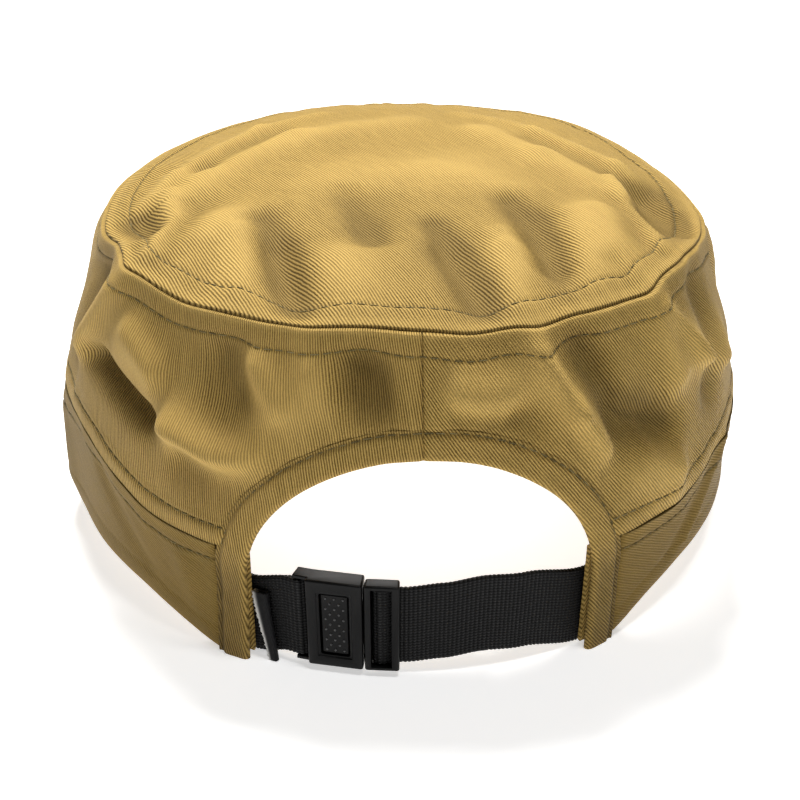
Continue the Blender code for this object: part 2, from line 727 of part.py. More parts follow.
def make_tongue(collection, cutters, material):
    """The half with the push pad on its neck, and a bar that the webbing goes over."""
    left = tongue_right() - TONGUE_LENGTH
    base = buckle_base()
    top = buckle_top()
    back = tongue_bar_out() - BAR_THICK
    low = (left, back, base)
    mesh = box_mesh("buckle_tongue", low, (tongue_right(), BUCKLE_FACE, top), BUCKLE_ROUND)
    tongue = new_object("buckle_tongue", mesh, collection, material)

    bar = tongue_bar()
    slot_reach = BAR_WIDTH / 2 + SLOT_WIDTH
    slot_low = (bar - slot_reach, -CUT_REACH, base + CHEEK)
    slot_high = (bar + slot_reach, CUT_REACH, top - CHEEK)
    boolean(tongue, helper("tongue_slots", box_mesh("tongue_slots", slot_low, slot_high), cutters))
    under_low = (bar, -CUT_REACH, base + CHEEK)
    under_high = (tongue_right() + CUT_REACH, WEBBING_THICK / 2 + FIT, top - CHEEK)
    boolean(tongue, helper("tongue_under", box_mesh("tongue_under", under_low, under_high), cutters))
    bar_ends = (base + CHEEK / 2, top - CHEEK / 2)
    boolean(tongue, bar_block("tongue_bar", bar, tongue_bar_out(), *bar_ends, cutters), "UNION")

    pad_back = SOCKET_WALL - BUCKLE_BACK + FIT
    pad_low, pad_high = window_corners(FIT, pad_back, BUCKLE_FACE - PAD_RECESS)
    pad = box_mesh("tongue_pad", pad_low, pad_high, BUCKLE_ROUND / 2)
    boolean(tongue, helper("tongue_pad", pad, cutters), "UNION")
    neck_low = (pad_high[0] - BAR_WIDTH, pad_back, STRAP_HEIGHT - WINDOW_HEIGHT / 3)
    neck_front = BUCKLE_FACE - SOCKET_WALL - FIT
    neck_high = (left + BUCKLE_ROUND * 1.5, neck_front, STRAP_HEIGHT + WINDOW_HEIGHT / 3)
    neck = box_mesh("tongue_neck", neck_low, neck_high)
    boolean(tongue, helper("tongue_neck", neck, cutters), "UNION")
    bend_to_strap(tongue)
    return tongue


def make_label_tag(collection, material):
    """A bare tape, folded once, that leans as it hangs beside the left flap."""
    left = -ARCH_WIDTH / 2 + SWEATBAND_PEEK + LABEL_CLEARANCE
    near = WEBBING_THICK / 2 + LAYER_GAP + LABEL_THICK / 2

    def point(index, share):
        along, out = LABEL_FOLD[index]
        width = LABEL_WIDTH * mix(LABEL_NARROWING, 1.0, share)
        lean = LABEL_LEAN * (1 - share)
        return left + lean + along * width, near + out * LABEL_OPENING, mix(LABEL_LIFT, LABEL_TOP, share)

    mesh = sheet_mesh("label_tag", list(range(len(LABEL_FOLD))), steps(0, 1, 3), point)
    label = thicken(new_object("label_tag", mesh, collection, material), LABEL_THICK, 0.0)
    bend_to_strap(label)
    return label


def new_material(name, color, roughness):
    material = bpy.data.materials.new(name)
    material.use_nodes = True
    shader = material.node_tree.nodes["Principled BSDF"]
    shader.inputs["Base Color"].default_value = (*color, 1)
    shader.inputs["Roughness"].default_value = roughness
    shader.inputs["Metallic"].default_value = 0
    return material


def centre_in_box(pieces):
    """Moves the cap along Y so that the middle of its box is over the origin."""
    bpy.context.view_layer.update()
    graph = bpy.context.evaluated_depsgraph_get()
    lengths = []
    for piece in pieces:
        mesh = piece.evaluated_get(graph).to_mesh()
        lengths += [vert.co.y for vert in mesh.vertices]
        piece.evaluated_get(graph).to_mesh_clear()
    shift = -(min(lengths) + max(lengths)) / 2
    anchor = bpy.data.objects.new("cap_anchor", None)
    bpy.context.scene.collection.objects.link(anchor)
    anchor.location.y = shift
    for obj in bpy.data.objects:
        if obj.type == "MESH":
            obj.parent = anchor


def clear_scene():
    for obj in list(bpy.data.objects):
        bpy.data.objects.remove(obj)


def make_cap():
    clear_scene()
    cap = bpy.data.collections.new("field_cap")
    cutters = bpy.data.collections.new("cutters")
    for collection in (cap, cutters):
        bpy.context.scene.collection.children.link(collection)

    twill = new_material("khaki_twill", (0.235, 0.165, 0.065), 0.9)
    webbing = new_material("black_webbing", (0.012, 0.012, 0.013), 0.8)
    plastic = new_material("black_plastic", (0.014, 0.014, 0.015), 0.45)
    tape = new_material("label_tape", (0.018, 0.018, 0.02), 0.75)

    arch = make_arch_cutter(cutters)
    floor = make_floor_cutter(cutters)
    pieces = [
        make_side_panel("side_panel_left", -1, cap, twill, arch, floor),
        make_side_panel("side_panel_right", 1, cap, twill, arch, floor),
        make_crown_top(cap, twill),
        make_band(cap, twill, floor),
        make_sweatband(cap, twill, floor),
        make_peak(cap, twill, floor),
        make_webbing_left(cap, webbing),
        make_webbing_right(cap, webbing),
        make_socket(cap, cutters, plastic),
        make_tongue(cap, cutters, plastic),
        make_label_tag(cap, tape),
    ]
    centre_in_box(pieces)


make_cap()
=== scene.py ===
"""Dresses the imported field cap: cotton twill, topstitching, webbing, buckle and label.

Metres, +Z up. The rear arch faces -Y and the peak +Y. Angles run round the cap in degrees, from 0
at the middle of the back, positive towards +X. A level runs up the wall: -1 at the lower edge, 0 at
the band seam and 1 at the crown seam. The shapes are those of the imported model, made more finely
and with sharper creases.
"""
import math

import bmesh
import bpy
import numpy as np
from mathutils import Matrix, Vector


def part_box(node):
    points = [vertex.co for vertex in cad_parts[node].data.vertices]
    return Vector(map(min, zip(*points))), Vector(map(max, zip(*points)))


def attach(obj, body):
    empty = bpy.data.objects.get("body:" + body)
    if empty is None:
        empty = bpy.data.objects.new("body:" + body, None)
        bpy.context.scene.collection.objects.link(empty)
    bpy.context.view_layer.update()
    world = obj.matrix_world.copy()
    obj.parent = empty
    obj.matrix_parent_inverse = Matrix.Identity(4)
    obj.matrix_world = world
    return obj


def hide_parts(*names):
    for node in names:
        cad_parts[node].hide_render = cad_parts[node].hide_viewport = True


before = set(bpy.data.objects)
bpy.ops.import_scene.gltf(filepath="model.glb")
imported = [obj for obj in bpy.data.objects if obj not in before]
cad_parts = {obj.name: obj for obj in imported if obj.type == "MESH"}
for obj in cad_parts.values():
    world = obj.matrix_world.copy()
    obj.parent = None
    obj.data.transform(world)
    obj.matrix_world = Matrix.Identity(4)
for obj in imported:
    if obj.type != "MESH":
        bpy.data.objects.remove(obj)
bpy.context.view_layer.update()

MM = 0.001

# The cap's sizes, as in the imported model
RIM_WIDTH = 176 * MM
RIM_LENGTH = 206 * MM
SEAM_WIDTH = 178 * MM
SEAM_LENGTH = 215 * MM
CROWN_WIDTH = 153 * MM
CROWN_LENGTH = 178 * MM
CROWN_BACK_REACH = 74 * MM
CROWN_SETBACK = 20 * MM
BAND_HEIGHT = 36 * MM
BAND_BACK_DROP = 4.5 * MM
BAND_FRONT_RISE = 3.5 * MM
CROWN_HEIGHT = 84 * MM
CROWN_FRONT_DROP = 3 * MM
DOME_RISE = 8 * MM
SIDE_LIFT = 8.5 * MM
FRONT_LIFT = 12 * MM
WALL_BULGE = 1.5 * MM
LIFT_FROM = 27
LIFT_TO = 50
BACK_SEAM_FLAT = 1.5
PANEL_CLOTH = 1.4 * MM
CROWN_CLOTH = 1 * MM
BAND_CLOTH = 1.6 * MM
SWEATBAND_CLOTH = 1.2 * MM
PEAK_CLOTH = 3 * MM
LAYER_GAP = 0.4 * MM
FLOOR_TRIM = 1 * MM
FOLD_DEPTH = 3 * MM
FOLD_WIDTH = 8 * MM
DRAPE = 1.35
ARCH_WIDTH = 80 * MM
ARCH_HEIGHT = 57 * MM
ARCH_STRAIGHT = 24 * MM
HEM_WIDTH = 6 * MM
SWEATBAND_PEEK = 1 * MM
SWEATBAND_DROP = 2 * MM
PEAK_DEPTH = 61 * MM
PEAK_SPREAD = 6 * MM
PEAK_ANGLE = 62
PEAK_EDGE_HEIGHT = 12 * MM
WEBBING_WIDTH = 21.2 * MM
WEBBING_THICK = 1.2 * MM
WEBBING_TUCK = 12 * MM
STRAP_HEIGHT = 13.6 * MM
STRAP_CLEARANCE = 0.5 * MM

# Seams: how far the stitches lie from them, and how the cloth rises and sinks beside them
CROWN_STITCH = 6.5 * MM
WALL_STITCH = 4.8 * MM
BAND_STITCH = 4.6 * MM
HEM_STITCH = 6 * MM
SEAM_PUFF = 0.45 * MM
SEAM_ROUND = 0.35 * MM
BAND_SEAM_GAP = 0.12 * MM
CROWN_DRAPE_SHARE = 0.6
CROWN_CREASE_SHARE = 0.56
SEAM_DAMPING = 0.55
ARCH_DAMPING = 0.85
ARCH_DAMPING_REACH = 11 * MM
LIP_RISE = 0.15 * MM
LIP_REACH = 1.3 * MM
# Painted highlight on the folds' ridges, which also stands for fading, and painted shade in their hollows
FOLD_FADING_AND_HIGHLIGHT = 0.6
FOLD_HOLLOW_PAINTED_SHADE = 0.6
# Painted shade on the back of the band
BAND_BACK_PAINTED_SHADE = 0.45
STITCH_GROOVE = 0.35 * MM
STITCH_GROOVE_WIDTH = 0.6 * MM
PUCKER_DEPTH = 0.32 * MM
PUCKER_LENGTH = 5 * MM
PUCKER_REACH = 3.5 * MM
RIPPLE_DEPTH = 0.35 * MM
RIPPLE_SIZE = 17 * MM

# Thread
STITCH_PITCH = 2.7 * MM
STITCH_GAP = 0.5 * MM
THREAD_RADIUS = 0.14 * MM

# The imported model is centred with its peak, so the cap's own middle lies behind
CAP_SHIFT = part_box("peak")[1].y - (RIM_LENGTH / 2 + PEAK_DEPTH)

# Folds of the wall: angle and level of both ends, then depth and width in shares of
# FOLD_DEPTH and FOLD_WIDTH. A positive depth is a ridge, a negative one is a hollow.
WALL_FOLDS = (
    # from_angle, from_level, to_angle, to_level, depth, width
    (-60, 0.98, -68, 0.50, 0.85, 0.75),
    (-77, 0.80, -77, 0.30, -0.70, 1.15),
    (-64, 0.45, -47, 0.42, -0.75, 0.50),
    (-54, 0.70, -47, 0.66, 0.70, 0.90),
    (-39, 0.50, -25, 0.38, 1.00, 0.80),
    (-33, 0.80, -31, 0.68, -0.60, 0.90),
    (-25, 0.84, -24, 0.66, 0.60, 0.80),
    (-19, 0.92, -18, 0.52, 0.60, 0.65),
    (-9, 0.80, -6, 0.58, -0.90, 0.95),
    (3, 0.82, 14, 0.76, 0.85, 0.75),
    (6, 0.58, 15, 0.56, -0.80, 0.75),
    (19, 0.92, 27, 0.44, 0.95, 0.70),
    (25, 0.88, 29, 0.76, -0.50, 0.80),
    (33, 0.52, 41, 0.44, -0.75, 0.85),
    (35, 0.26, 43, 0.14, 0.60, 0.80),
    (43, 0.98, 46, 0.60, 0.75, 0.65),
    (52, 0.66, 63, 0.50, 0.65, 0.90),
    (59, 0.88, 58, 0.36, -0.65, 0.75),
    (84, 0.68, 87, 0.46, -0.75, 1.30),
    (-88, 0.78, -90, 0.58, -0.25, 1.40),
    (-83, -0.30, -80, -0.80, 0.50, 1.20),
    (-104, 0.75, -112, 0.30, 0.60, 1.40),
    (-134, 0.70, -128, 0.25, -0.50, 1.50),
    (102, 0.70, 108, 0.25, 0.50, 1.30),
    (118, 0.70, 126, 0.30, -0.50, 1.50),
    (146, 0.60, 157, 0.55, 0.50, 1.40),
    (-145, 0.45, -156, 0.50, 0.45, 1.40),
)

# Folds of the crown: both ends in shares of its half width and of its reach from its middle,
# then depth and width as above
CROWN_FOLDS = (
    # from_across, from_along, to_across, to_along, depth, width
    (-0.90, -0.30, -0.68, 0.14, 0.55, 0.80),
    (-0.68, 0.14, -0.36, 0.40, 0.60, 0.80),
    (-0.36, 0.40, 0.06, 0.54, 0.40, 0.80),
    (0.30, 0.44, 0.50, 0.22, 0.55, 0.75),
    (0.50, 0.22, 0.84, -0.14, 0.60, 0.75),
    (-0.76, -0.05, -0.84, -0.55, -0.80, 0.90),
    (-0.58, -0.30, -0.60, -0.62, 0.65, 1.10),
    (-0.41, -0.50, -0.36, -0.92, -0.80, 0.70),
    (-0.22, -0.62, -0.18, -0.86, 0.55, 0.90),
    (-0.08, -0.15, -0.10, -0.42, -0.32, 0.95),
    (0.11, -0.58, 0.20, -0.96, -0.75, 0.80),
    (0.30, -0.60, 0.34, -0.86, 0.50, 0.80),
    (0.44, -0.30, 0.43, -0.84, -0.70, 0.75),
    (0.62, -0.26, 0.60, -0.66, 0.75, 0.85),
    (0.76, -0.14, 0.78, -0.52, -0.95, 0.75),
    (-0.20, 0.05, 0.20, 0.12, 0.40, 1.80),
)

# Sharper creases of the cloth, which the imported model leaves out, in the same two forms
WALL_CREASES = (
    # from_angle, from_level, to_angle, to_level, depth, width
    (-10, 0.82, -5, 0.66, -0.35, 0.60),
    (12, 0.64, 17, 0.56, -0.30, 0.50),
    (2, 0.76, 12, 0.68, 0.60, 0.42),
    (19, 0.92, 24, 0.66, 0.50, 0.36),
    (24, 0.66, 29, 0.44, 0.55, 0.36),
    (27, 0.90, 31, 0.62, -0.45, 0.50),
    (-17, 0.84, -13, 0.62, 0.50, 0.42),
    (-27, 0.84, -22, 0.70, 0.55, 0.42),
    (-41, 0.50, -25, 0.42, 0.75, 0.42),
    (-38, 0.34, -27, 0.28, -0.45, 0.60),
    (-53, 0.78, -46, 0.70, 0.45, 0.42),
    (33, 0.52, 44, 0.36, -0.60, 0.55),
    (38, 0.33, 44, 0.20, 0.45, 0.40),
    (52, 0.60, 64, 0.42, 0.28, 0.34),
    (-62, 0.47, -48, 0.43, -0.55, 0.30),
    (46, 0.92, 54, 0.58, 0.50, 0.30),
    (62, -0.04, 49, -0.74, 0.25, 0.34),
    (57, -0.06, 45, -0.74, -0.15, 0.50),
    (-58, -0.20, -47, -0.66, -0.18, 0.60),
    (-38, -0.30, -34, -0.80, 0.25, 0.60),
    (96, 0.80, 92, 0.30, 0.50, 0.45),
    (-122, 0.80, -116, 0.35, 0.50, 0.40),
    (134, 0.75, 141, 0.30, -0.45, 0.45),
    (-150, 0.85, -160, 0.45, -0.45, 0.45),
    (165, 0.80, 160, 0.40, 0.40, 0.45),
)

CROWN_CREASES = (
    # from_across, from_along, to_across, to_along, depth, width
    (0.34, -0.16, 0.42, -0.66, -0.95, 0.55),
    (0.50, -0.28, 0.51, -0.76, 0.55, 0.55),
    (0.08, -0.36, 0.19, -0.88, -0.85, 0.52),
    (0.28, -0.45, 0.30, -0.86, 0.45, 0.50),
    (-0.45, -0.28, -0.35, -0.88, -0.95, 0.52),
    (-0.55, -0.40, -0.50, -0.84, 0.50, 0.50),
    (-0.20, -0.08, -0.12, -0.50, -0.55, 0.60),
    (0.82, 0.06, 0.91, -0.26, -2.60, 0.95),
    (0.72, 0.08, 0.79, -0.50, 1.25, 0.36),
    (-0.91, -0.04, -0.88, -0.24, -1.60, 0.70),
    (-0.78, 0.06, -0.80, -0.46, 1.20, 0.42),
    (-0.92, -0.02, -0.76, 0.20, 0.45, 0.36),
    (-0.76, 0.20, -0.49, 0.54, 0.45, 0.36),
    (-0.49, 0.54, -0.26, 0.68, 0.35, 0.40),
    (-0.78, 0.04, -0.66, 0.22, -0.50, 0.50),
    (-0.66, 0.22, -0.42, 0.48, -0.45, 0.50),
    (0.26, 0.66, 0.50, 0.47, 0.30, 0.40),
    (0.50, 0.47, 0.76, 0.22, 0.45, 0.36),
    (0.76, 0.22, 0.92, 0.00, 0.45, 0.36),
    (0.46, 0.38, 0.70, 0.14, -0.40, 0.50),
    (-0.62, -0.50, -0.66, -0.72, -0.40, 0.45),
    (0.60, -0.62, 0.66, -0.80, -0.60, 0.40),
    (0.10, 0.10, 0.34, -0.02, 0.30, 0.80),
)

# Dips and rises of the crown seam: rise and inset in shares of FOLD_DEPTH
CROWN_SEAM_DIPS = (
    # angle, rise, inset, degrees wide
    (-64, 0.80, 0.00, 13),
    (61, 0.85, 0.00, 12),
    (-76, 0.00, 1.20, 13),
    (74, 0.00, 0.55, 18),
    (-92, -0.75, 0.00, 16),
    (98, -0.35, 0.00, 14),
    (140, 0.50, -0.40, 18),
    (-44, -0.35, 0.30, 5),
    (-9, 0.30, 0.00, 9),
    (9, -0.40, 0.25, 5),
    (22, -0.40, 0.30, 4),
    (50, 0.40, 0.10, 6),
)

# Dips and rises of the band seam: rise in shares of FOLD_DEPTH
BAND_SEAM_DIPS = (
    # angle, rise, degrees wide
    (-67, 1.40, 11),
    (-44, -0.45, 7),
    (48, -0.50, 10),
)

# Rises of the lower edge in shares of SIDE_LIFT
RIM_RISES = (
    # angle, rise, degrees wide
    (38, 0.20, 6),
    (58, 0.32, 20),
    (-46, -0.14, 8),
    (-104, 0.10, 20),
)

# The peak from its middle, 0, to its end, 1: how far it reaches forward, in shares of
# PEAK_DEPTH, and how high its edge lies, in shares of PEAK_EDGE_HEIGHT
PEAK_SECTIONS = (
    # place, reach, edge_height
    (0.00, 1.00, 1.00),
    (0.20, 0.985, 0.91),
    (0.40, 0.935, 0.66),
    (0.60, 0.83, 0.35),
    (0.78, 0.62, 0.18),
    (0.92, 0.33, 0.34),
    (1.00, 0.08, 0.64),
)

# The strap's middle line: places in shares of half the arch's width, heights in shares
# of STRAP_HEIGHT
STRAP_LINE = (
    # place, height
    (-1.40, 0.83),
    (-1.00, 0.84),
    (-0.75, 1.00),
    (-0.10, 1.00),
    (0.12, 1.06),
    (0.35, 1.13),
    (0.60, 1.06),
    (1.00, 0.84),
    (1.40, 0.83),
)


def ramp(value, start, end):
    """0 before start, 1 after end and a smooth curve between them."""
    share = np.clip((value - start) / (end - start), 0, 1)
    return share * share * (3 - 2 * share)


def wrapped(angle):
    """The same angle from -180 to 180 degrees."""
    return (angle + 180) % 360 - 180


def stacked(*values):
    """Coordinates side by side, in one array of places."""
    return np.stack(np.broadcast_arrays(*values), -1)


def mix(first, second, share):
    return first + (second - first) * share


def bell(value, middle, width):
    return np.exp(-(((value - middle) / width) ** 2))


def read_table(table, place, column):
    """A column of a table of sections, smooth between its rows."""
    value = np.full(np.shape(place), float(table[0][column]))
    for low, high in zip(table, table[1:]):
        value += (high[column] - low[column]) * ramp(place, low[0], high[0])
    return value


def curve_through(table, place, column):
    """A column of a table of sections as one smooth curve, level at its first row."""
    rows = np.array(table)
    spots = rows[:, 0]
    values = rows[:, column]
    slopes = np.gradient(values, spots)
    slopes[0] = 0
    low = np.clip(np.searchsorted(spots, place, side="right") - 1, 0, len(spots) - 2)
    step = spots[low + 1] - spots[low]
    share = (place - spots[low]) / step
    rest = 1 - share
    from_low = (1 + 2 * share) * rest ** 2 * values[low] + share * rest ** 2 * step * slopes[low]
    from_high = (3 - 2 * share) * share ** 2 * values[low + 1] - rest * share ** 2 * step * slopes[low + 1]
    return from_low + from_high


def ripple(along, up, size, seed):
    """Smooth noise from -1 to 1, with bumps of a size."""
    cells = 64
    values = np.random.default_rng(seed).uniform(-1, 1, (cells, cells))
    x = along / size
    y = up / size
    column = np.floor(x).astype(int)
    row = np.floor(y).astype(int)
    share_x = ramp(x - column, 0, 1)
    share_y = ramp(y - row, 0, 1)
    low = mix(values[column % cells, row % cells], values[(column + 1) % cells, row % cells], share_x)
    row = row + 1
    high = mix(values[column % cells, row % cells], values[(column + 1) % cells, row % cells], share_x)
    return mix(low, high, share_y)


def folds_at(table, across, along, span_across, span_along):
    """How far the folds of a table lift the cloth at a place."""
    lift = np.zeros(np.broadcast(across, along).shape)
    for from_across, from_along, to_across, to_along, depth, width in table:
        run_x = (to_across - from_across) * span_across
        run_y = (to_along - from_along) * span_along
        gone_x = (across - from_across) * span_across
        gone_y = (along - from_along) * span_along
        share = np.clip((gone_x * run_x + gone_y * run_y) / (run_x ** 2 + run_y ** 2), 0, 1)
        away = np.hypot(gone_x - share * run_x, gone_y - share * run_y)
        lift += depth * DRAPE * FOLD_DEPTH * bell(away, 0, width * FOLD_WIDTH)
    return lift


def front_share(angle):
    """0 at the back and the sides, 1 at the front."""
    return ramp(np.abs(angle), 110, 180)


def lower_edge(angle):
    """Height of the cap's lower edge. The flaps reach below the surface, and are trimmed to it."""
    lift = mix(-FLOOR_TRIM, SIDE_LIFT, ramp(np.abs(angle), LIFT_FROM, LIFT_TO))
    for place, rise, width in RIM_RISES:
        lift += rise * SIDE_LIFT * bell(angle, place, width)
    return lift + (FRONT_LIFT - SIDE_LIFT) * front_share(angle)


def rim_height(angle):
    return np.maximum(lower_edge(angle), 0)


def band_seam(angle):
    height = BAND_HEIGHT - BAND_BACK_DROP * (1 - ramp(np.abs(angle), 30, 62))
    height += BAND_FRONT_RISE * front_share(angle)
    for place, rise, width in BAND_SEAM_DIPS:
        height += rise * FOLD_DEPTH * bell(angle, place, width)
    return height


def crown_seam(angle):
    """Height and inset of the crown seam."""
    height = CROWN_HEIGHT - CROWN_FRONT_DROP * np.sin(np.radians(angle) / 2) ** 4
    inset = np.zeros(np.shape(angle))
    for place, rise, push, width in CROWN_SEAM_DIPS:
        share = FOLD_DEPTH * bell(angle, place, width)
        height = height + rise * share
        inset = inset + push * share
    return height, inset


def oval(level):
    """Half width, reach behind, reach ahead and middle of the cap's oval at a level."""
    up = np.clip(level, 0, 1)
    down = np.clip(-level, 0, 1.2)
    bulge = WALL_BULGE * np.sin(math.pi * up)
    half_width = mix(SEAM_WIDTH, CROWN_WIDTH, up) / 2 - (SEAM_WIDTH - RIM_WIDTH) / 2 * down + bulge
    shorter = (SEAM_LENGTH - RIM_LENGTH) / 2 * down
    behind = mix(SEAM_LENGTH / 2, CROWN_BACK_REACH, up) - shorter + bulge
    ahead = mix(SEAM_LENGTH / 2, CROWN_LENGTH - CROWN_BACK_REACH, up) - shorter + bulge
    return half_width, behind, ahead, -CROWN_SETBACK * up


def level_of(angle, height):
    """The level of a height on the wall at an angle."""
    seam = band_seam(angle)
    top = crown_seam(angle)[0]
    above = (height - seam) / (top - seam)
    below = (height - seam) / (seam - lower_edge(angle))
    return np.where(height < seam, below, above)


def height_at(angle, level):
    """The height of a level of the wall at an angle."""
    seam = band_seam(angle)
    above = seam + level * (crown_seam(angle)[0] - seam)
    below = seam + level * (seam - lower_edge(angle))
    return np.where(level < 0, below, above)


def wall_fold(angle, level):
    """How far the wall's folds and creases lift it. They fade out at the hem of the arch."""
    round_length = math.radians(1) * (SEAM_WIDTH + SEAM_LENGTH) / 4
    fold = folds_at(WALL_FOLDS, angle, level, round_length, CROWN_HEIGHT - BAND_HEIGHT)
    fold += folds_at(WALL_CREASES, angle, level, round_length, CROWN_HEIGHT - BAND_HEIGHT)
    near_seam = 1 - SEAM_DAMPING * ramp(level, 0.82, 1)
    away = from_arch(oval(level)[0] * np.sin(np.radians(angle)), height_at(angle, level))
    held = 1 - ramp(away, HEM_STITCH, HEM_STITCH + ARCH_DAMPING_REACH)
    near_arch = 1 - ARCH_DAMPING * held * (1 - ramp(np.abs(angle), SINK_ANGLE - 10, SINK_ANGLE))
    return fold * near_seam * near_arch * ramp(np.abs(angle), BACK_SEAM_FLAT, 4 * BACK_SEAM_FLAT)


def fold_fading_and_painted_light(fold):
    """Folds are lighter where they stand proud, as fading and painted highlight, and darker where they are
    hollow, as painted shade.
    """
    share = np.clip(fold / FOLD_DEPTH, -1, 1)
    return np.where(share > 0, FOLD_FADING_AND_HIGHLIGHT, FOLD_HOLLOW_PAINTED_SHADE) * share


def wall_place(angle, height, lift=0.0):
    """A point of the wall's outer face at an angle and a height, raised outwards by the lift."""
    angle = wrapped(angle)
    level = level_of(angle, height)
    half_width, behind, ahead, middle = oval(level)
    turn = np.radians(angle)
    reach = np.where(np.cos(turn) > 0, behind, ahead)
    out_x = np.sin(turn) * reach
    out_y = -np.cos(turn) * half_width
    length = np.hypot(out_x, out_y)
    lift = lift + wall_fold(angle, level) - crown_seam(angle)[1] * ramp(level, 0.4, 1)
    x = half_width * np.sin(turn) + lift * out_x / length
    y = middle - reach * np.cos(turn) + lift * out_y / length
    return stacked(x, y + CAP_SHIFT, height)


def around(angle):
    """Length along the wall from the middle of the back."""
    return np.radians(angle) * (SEAM_WIDTH + SEAM_LENGTH) / 4


def seam_relief(along, distance, stitch, seed):
    """Lift of cloth beside a seam: round at the seam, puffed, and drawn in along the stitches."""
    puff = SEAM_PUFF * (1 - ramp(distance, stitch - MM, stitch + 2.5 * MM))
    groove = STITCH_GROOVE * bell(distance, stitch, STITCH_GROOVE_WIDTH)
    rest = SEAM_ROUND - np.clip(distance, 0, SEAM_ROUND)
    rounded = SEAM_ROUND - np.sqrt(SEAM_ROUND ** 2 - rest ** 2)
    near = bell(distance, stitch, PUCKER_REACH)
    pucker = PUCKER_DEPTH * near * ripple(along, distance / 2, PUCKER_LENGTH, seed)
    return puff - groove - rounded + pucker


def turned(across, up, lean):
    """Cloth coordinates with the twill's ribs along the second, leaning left by some degrees."""
    lean = math.radians(lean)
    first = across * math.cos(lean) + up * math.sin(lean)
    second = up * math.cos(lean) - across * math.sin(lean)
    return stacked(first, second)


def half_turn(count):
    """Angles in radians between 0 and a half turn, without both ends."""
    return np.radians(np.linspace(0, 180, count))[1:-1]


def spaced(*parts):
    """Places from several (start, end, count) runs, each without its end but the last."""
    runs = [np.linspace(start, end, count, endpoint=False) for start, end, count in parts]
    return np.concatenate(runs + [[parts[-1][1]]])


# Places of the mesh rows beside a seam, closer together where the cloth bends
SEAM_ROWS = spaced((0, 0.4 * MM, 3), (0.4 * MM, 1.2 * MM, 3), (1.2 * MM, 4 * MM, 4), (4 * MM, 7.6 * MM, 9))


def placed(name, data):
    """A new object of the scene."""
    obj = bpy.data.objects.new(name, data)
    bpy.context.scene.collection.objects.link(obj)
    return obj


def new_mesh(name, points, faces, coordinates, wear_and_painted_light, material, flip=False):
    """A smooth mesh object with cloth coordinates and, at each point, a value of wear and painted light."""
    mesh = bpy.data.meshes.new(name)
    if flip:
        faces = faces[:, ::-1]
    mesh.from_pydata(points.tolist(), [], faces.tolist())
    layer = mesh.uv_layers.new(name="cloth")
    corner_points = np.zeros(len(mesh.loops), dtype=np.int32)
    mesh.loops.foreach_get("vertex_index", corner_points)
    layer.uv.foreach_set("vector", coordinates[corner_points].astype(np.float32).ravel())
    marks = mesh.attributes.new("wear_and_painted_light", "FLOAT", "POINT")
    marks.data.foreach_set("value", wear_and_painted_light.astype(np.float32).ravel())
    mesh.polygons.foreach_set("use_smooth", np.ones(len(mesh.polygons), dtype=bool))
    mesh.materials.append(material)
    return placed(name, mesh)


def grid_faces(columns, rows, keep=None, round_rows=False):
    """Faces of a grid of points, which are numbered row by row within each column."""
    last = rows if round_rows else rows - 1
    column, row = np.meshgrid(np.arange(columns - 1), np.arange(last), indexing="ij")
    if keep is not None:
        column = column[keep]
        row = row[keep]
    column = column.ravel()
    row = row.ravel()
    above = (row + 1) % rows
    here = column * rows
    after = (column + 1) * rows
    return np.stack([here + row, after + row, after + above, here + above], -1)


def loft(name, points, coordinates, wear_and_painted_light, material, keep=None, flip=False, round_rows=False):
    """A mesh object through a grid of points."""
    columns, rows = points.shape[:2]
    faces = grid_faces(columns, rows, keep, round_rows)
    wear_and_painted_light = np.broadcast_to(wear_and_painted_light, (columns, rows)).reshape(-1)
    coordinates = coordinates.reshape(-1, 2)
    obj = new_mesh(name, points.reshape(-1, 3), faces, coordinates, wear_and_painted_light, material, flip)
    if keep is not None:
        tidy_mesh(obj)
    if round_rows:
        close_ends(obj)
    return obj


def close_ends(obj):
    """Closes both open ends of a tube-like mesh."""
    bm = bmesh.new()
    bm.from_mesh(obj.data)
    filled = bmesh.ops.holes_fill(bm, edges=[edge for edge in bm.edges if edge.is_boundary], sides=0)
    for face in filled["faces"]:
        face.smooth = False
    bm.to_mesh(obj.data)
    bm.free()


def tidy_mesh(obj):
    """Removes the points that no face uses."""
    bm = bmesh.new()
    bm.from_mesh(obj.data)
    bmesh.ops.delete(bm, geom=[v for v in bm.verts if not v.link_faces], context="VERTS")
    bm.to_mesh(obj.data)
    bm.free()


def joined(pieces):
    """One object from several."""
    with bpy.context.temp_override(active_object=pieces[0], selected_editable_objects=pieces):
        bpy.ops.object.join()
    return pieces[0]


def thicken(obj, thickness):
    """Gives open cloth its thickness, on the inner side."""
    shell = obj.modifiers.new("thickness", "SOLIDIFY")
    shell.thickness = thickness
    shell.offset = -1


def applied(obj, name):
    """Applies a modifier of an object."""
    with bpy.context.temp_override(object=obj, active_object=obj):
        bpy.ops.object.modifier_apply(modifier=name)


def dress(piece, node):
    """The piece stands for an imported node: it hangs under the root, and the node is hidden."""
    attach(piece, "root")
    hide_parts(node)


def add_detail(piece):
    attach(piece, "root")


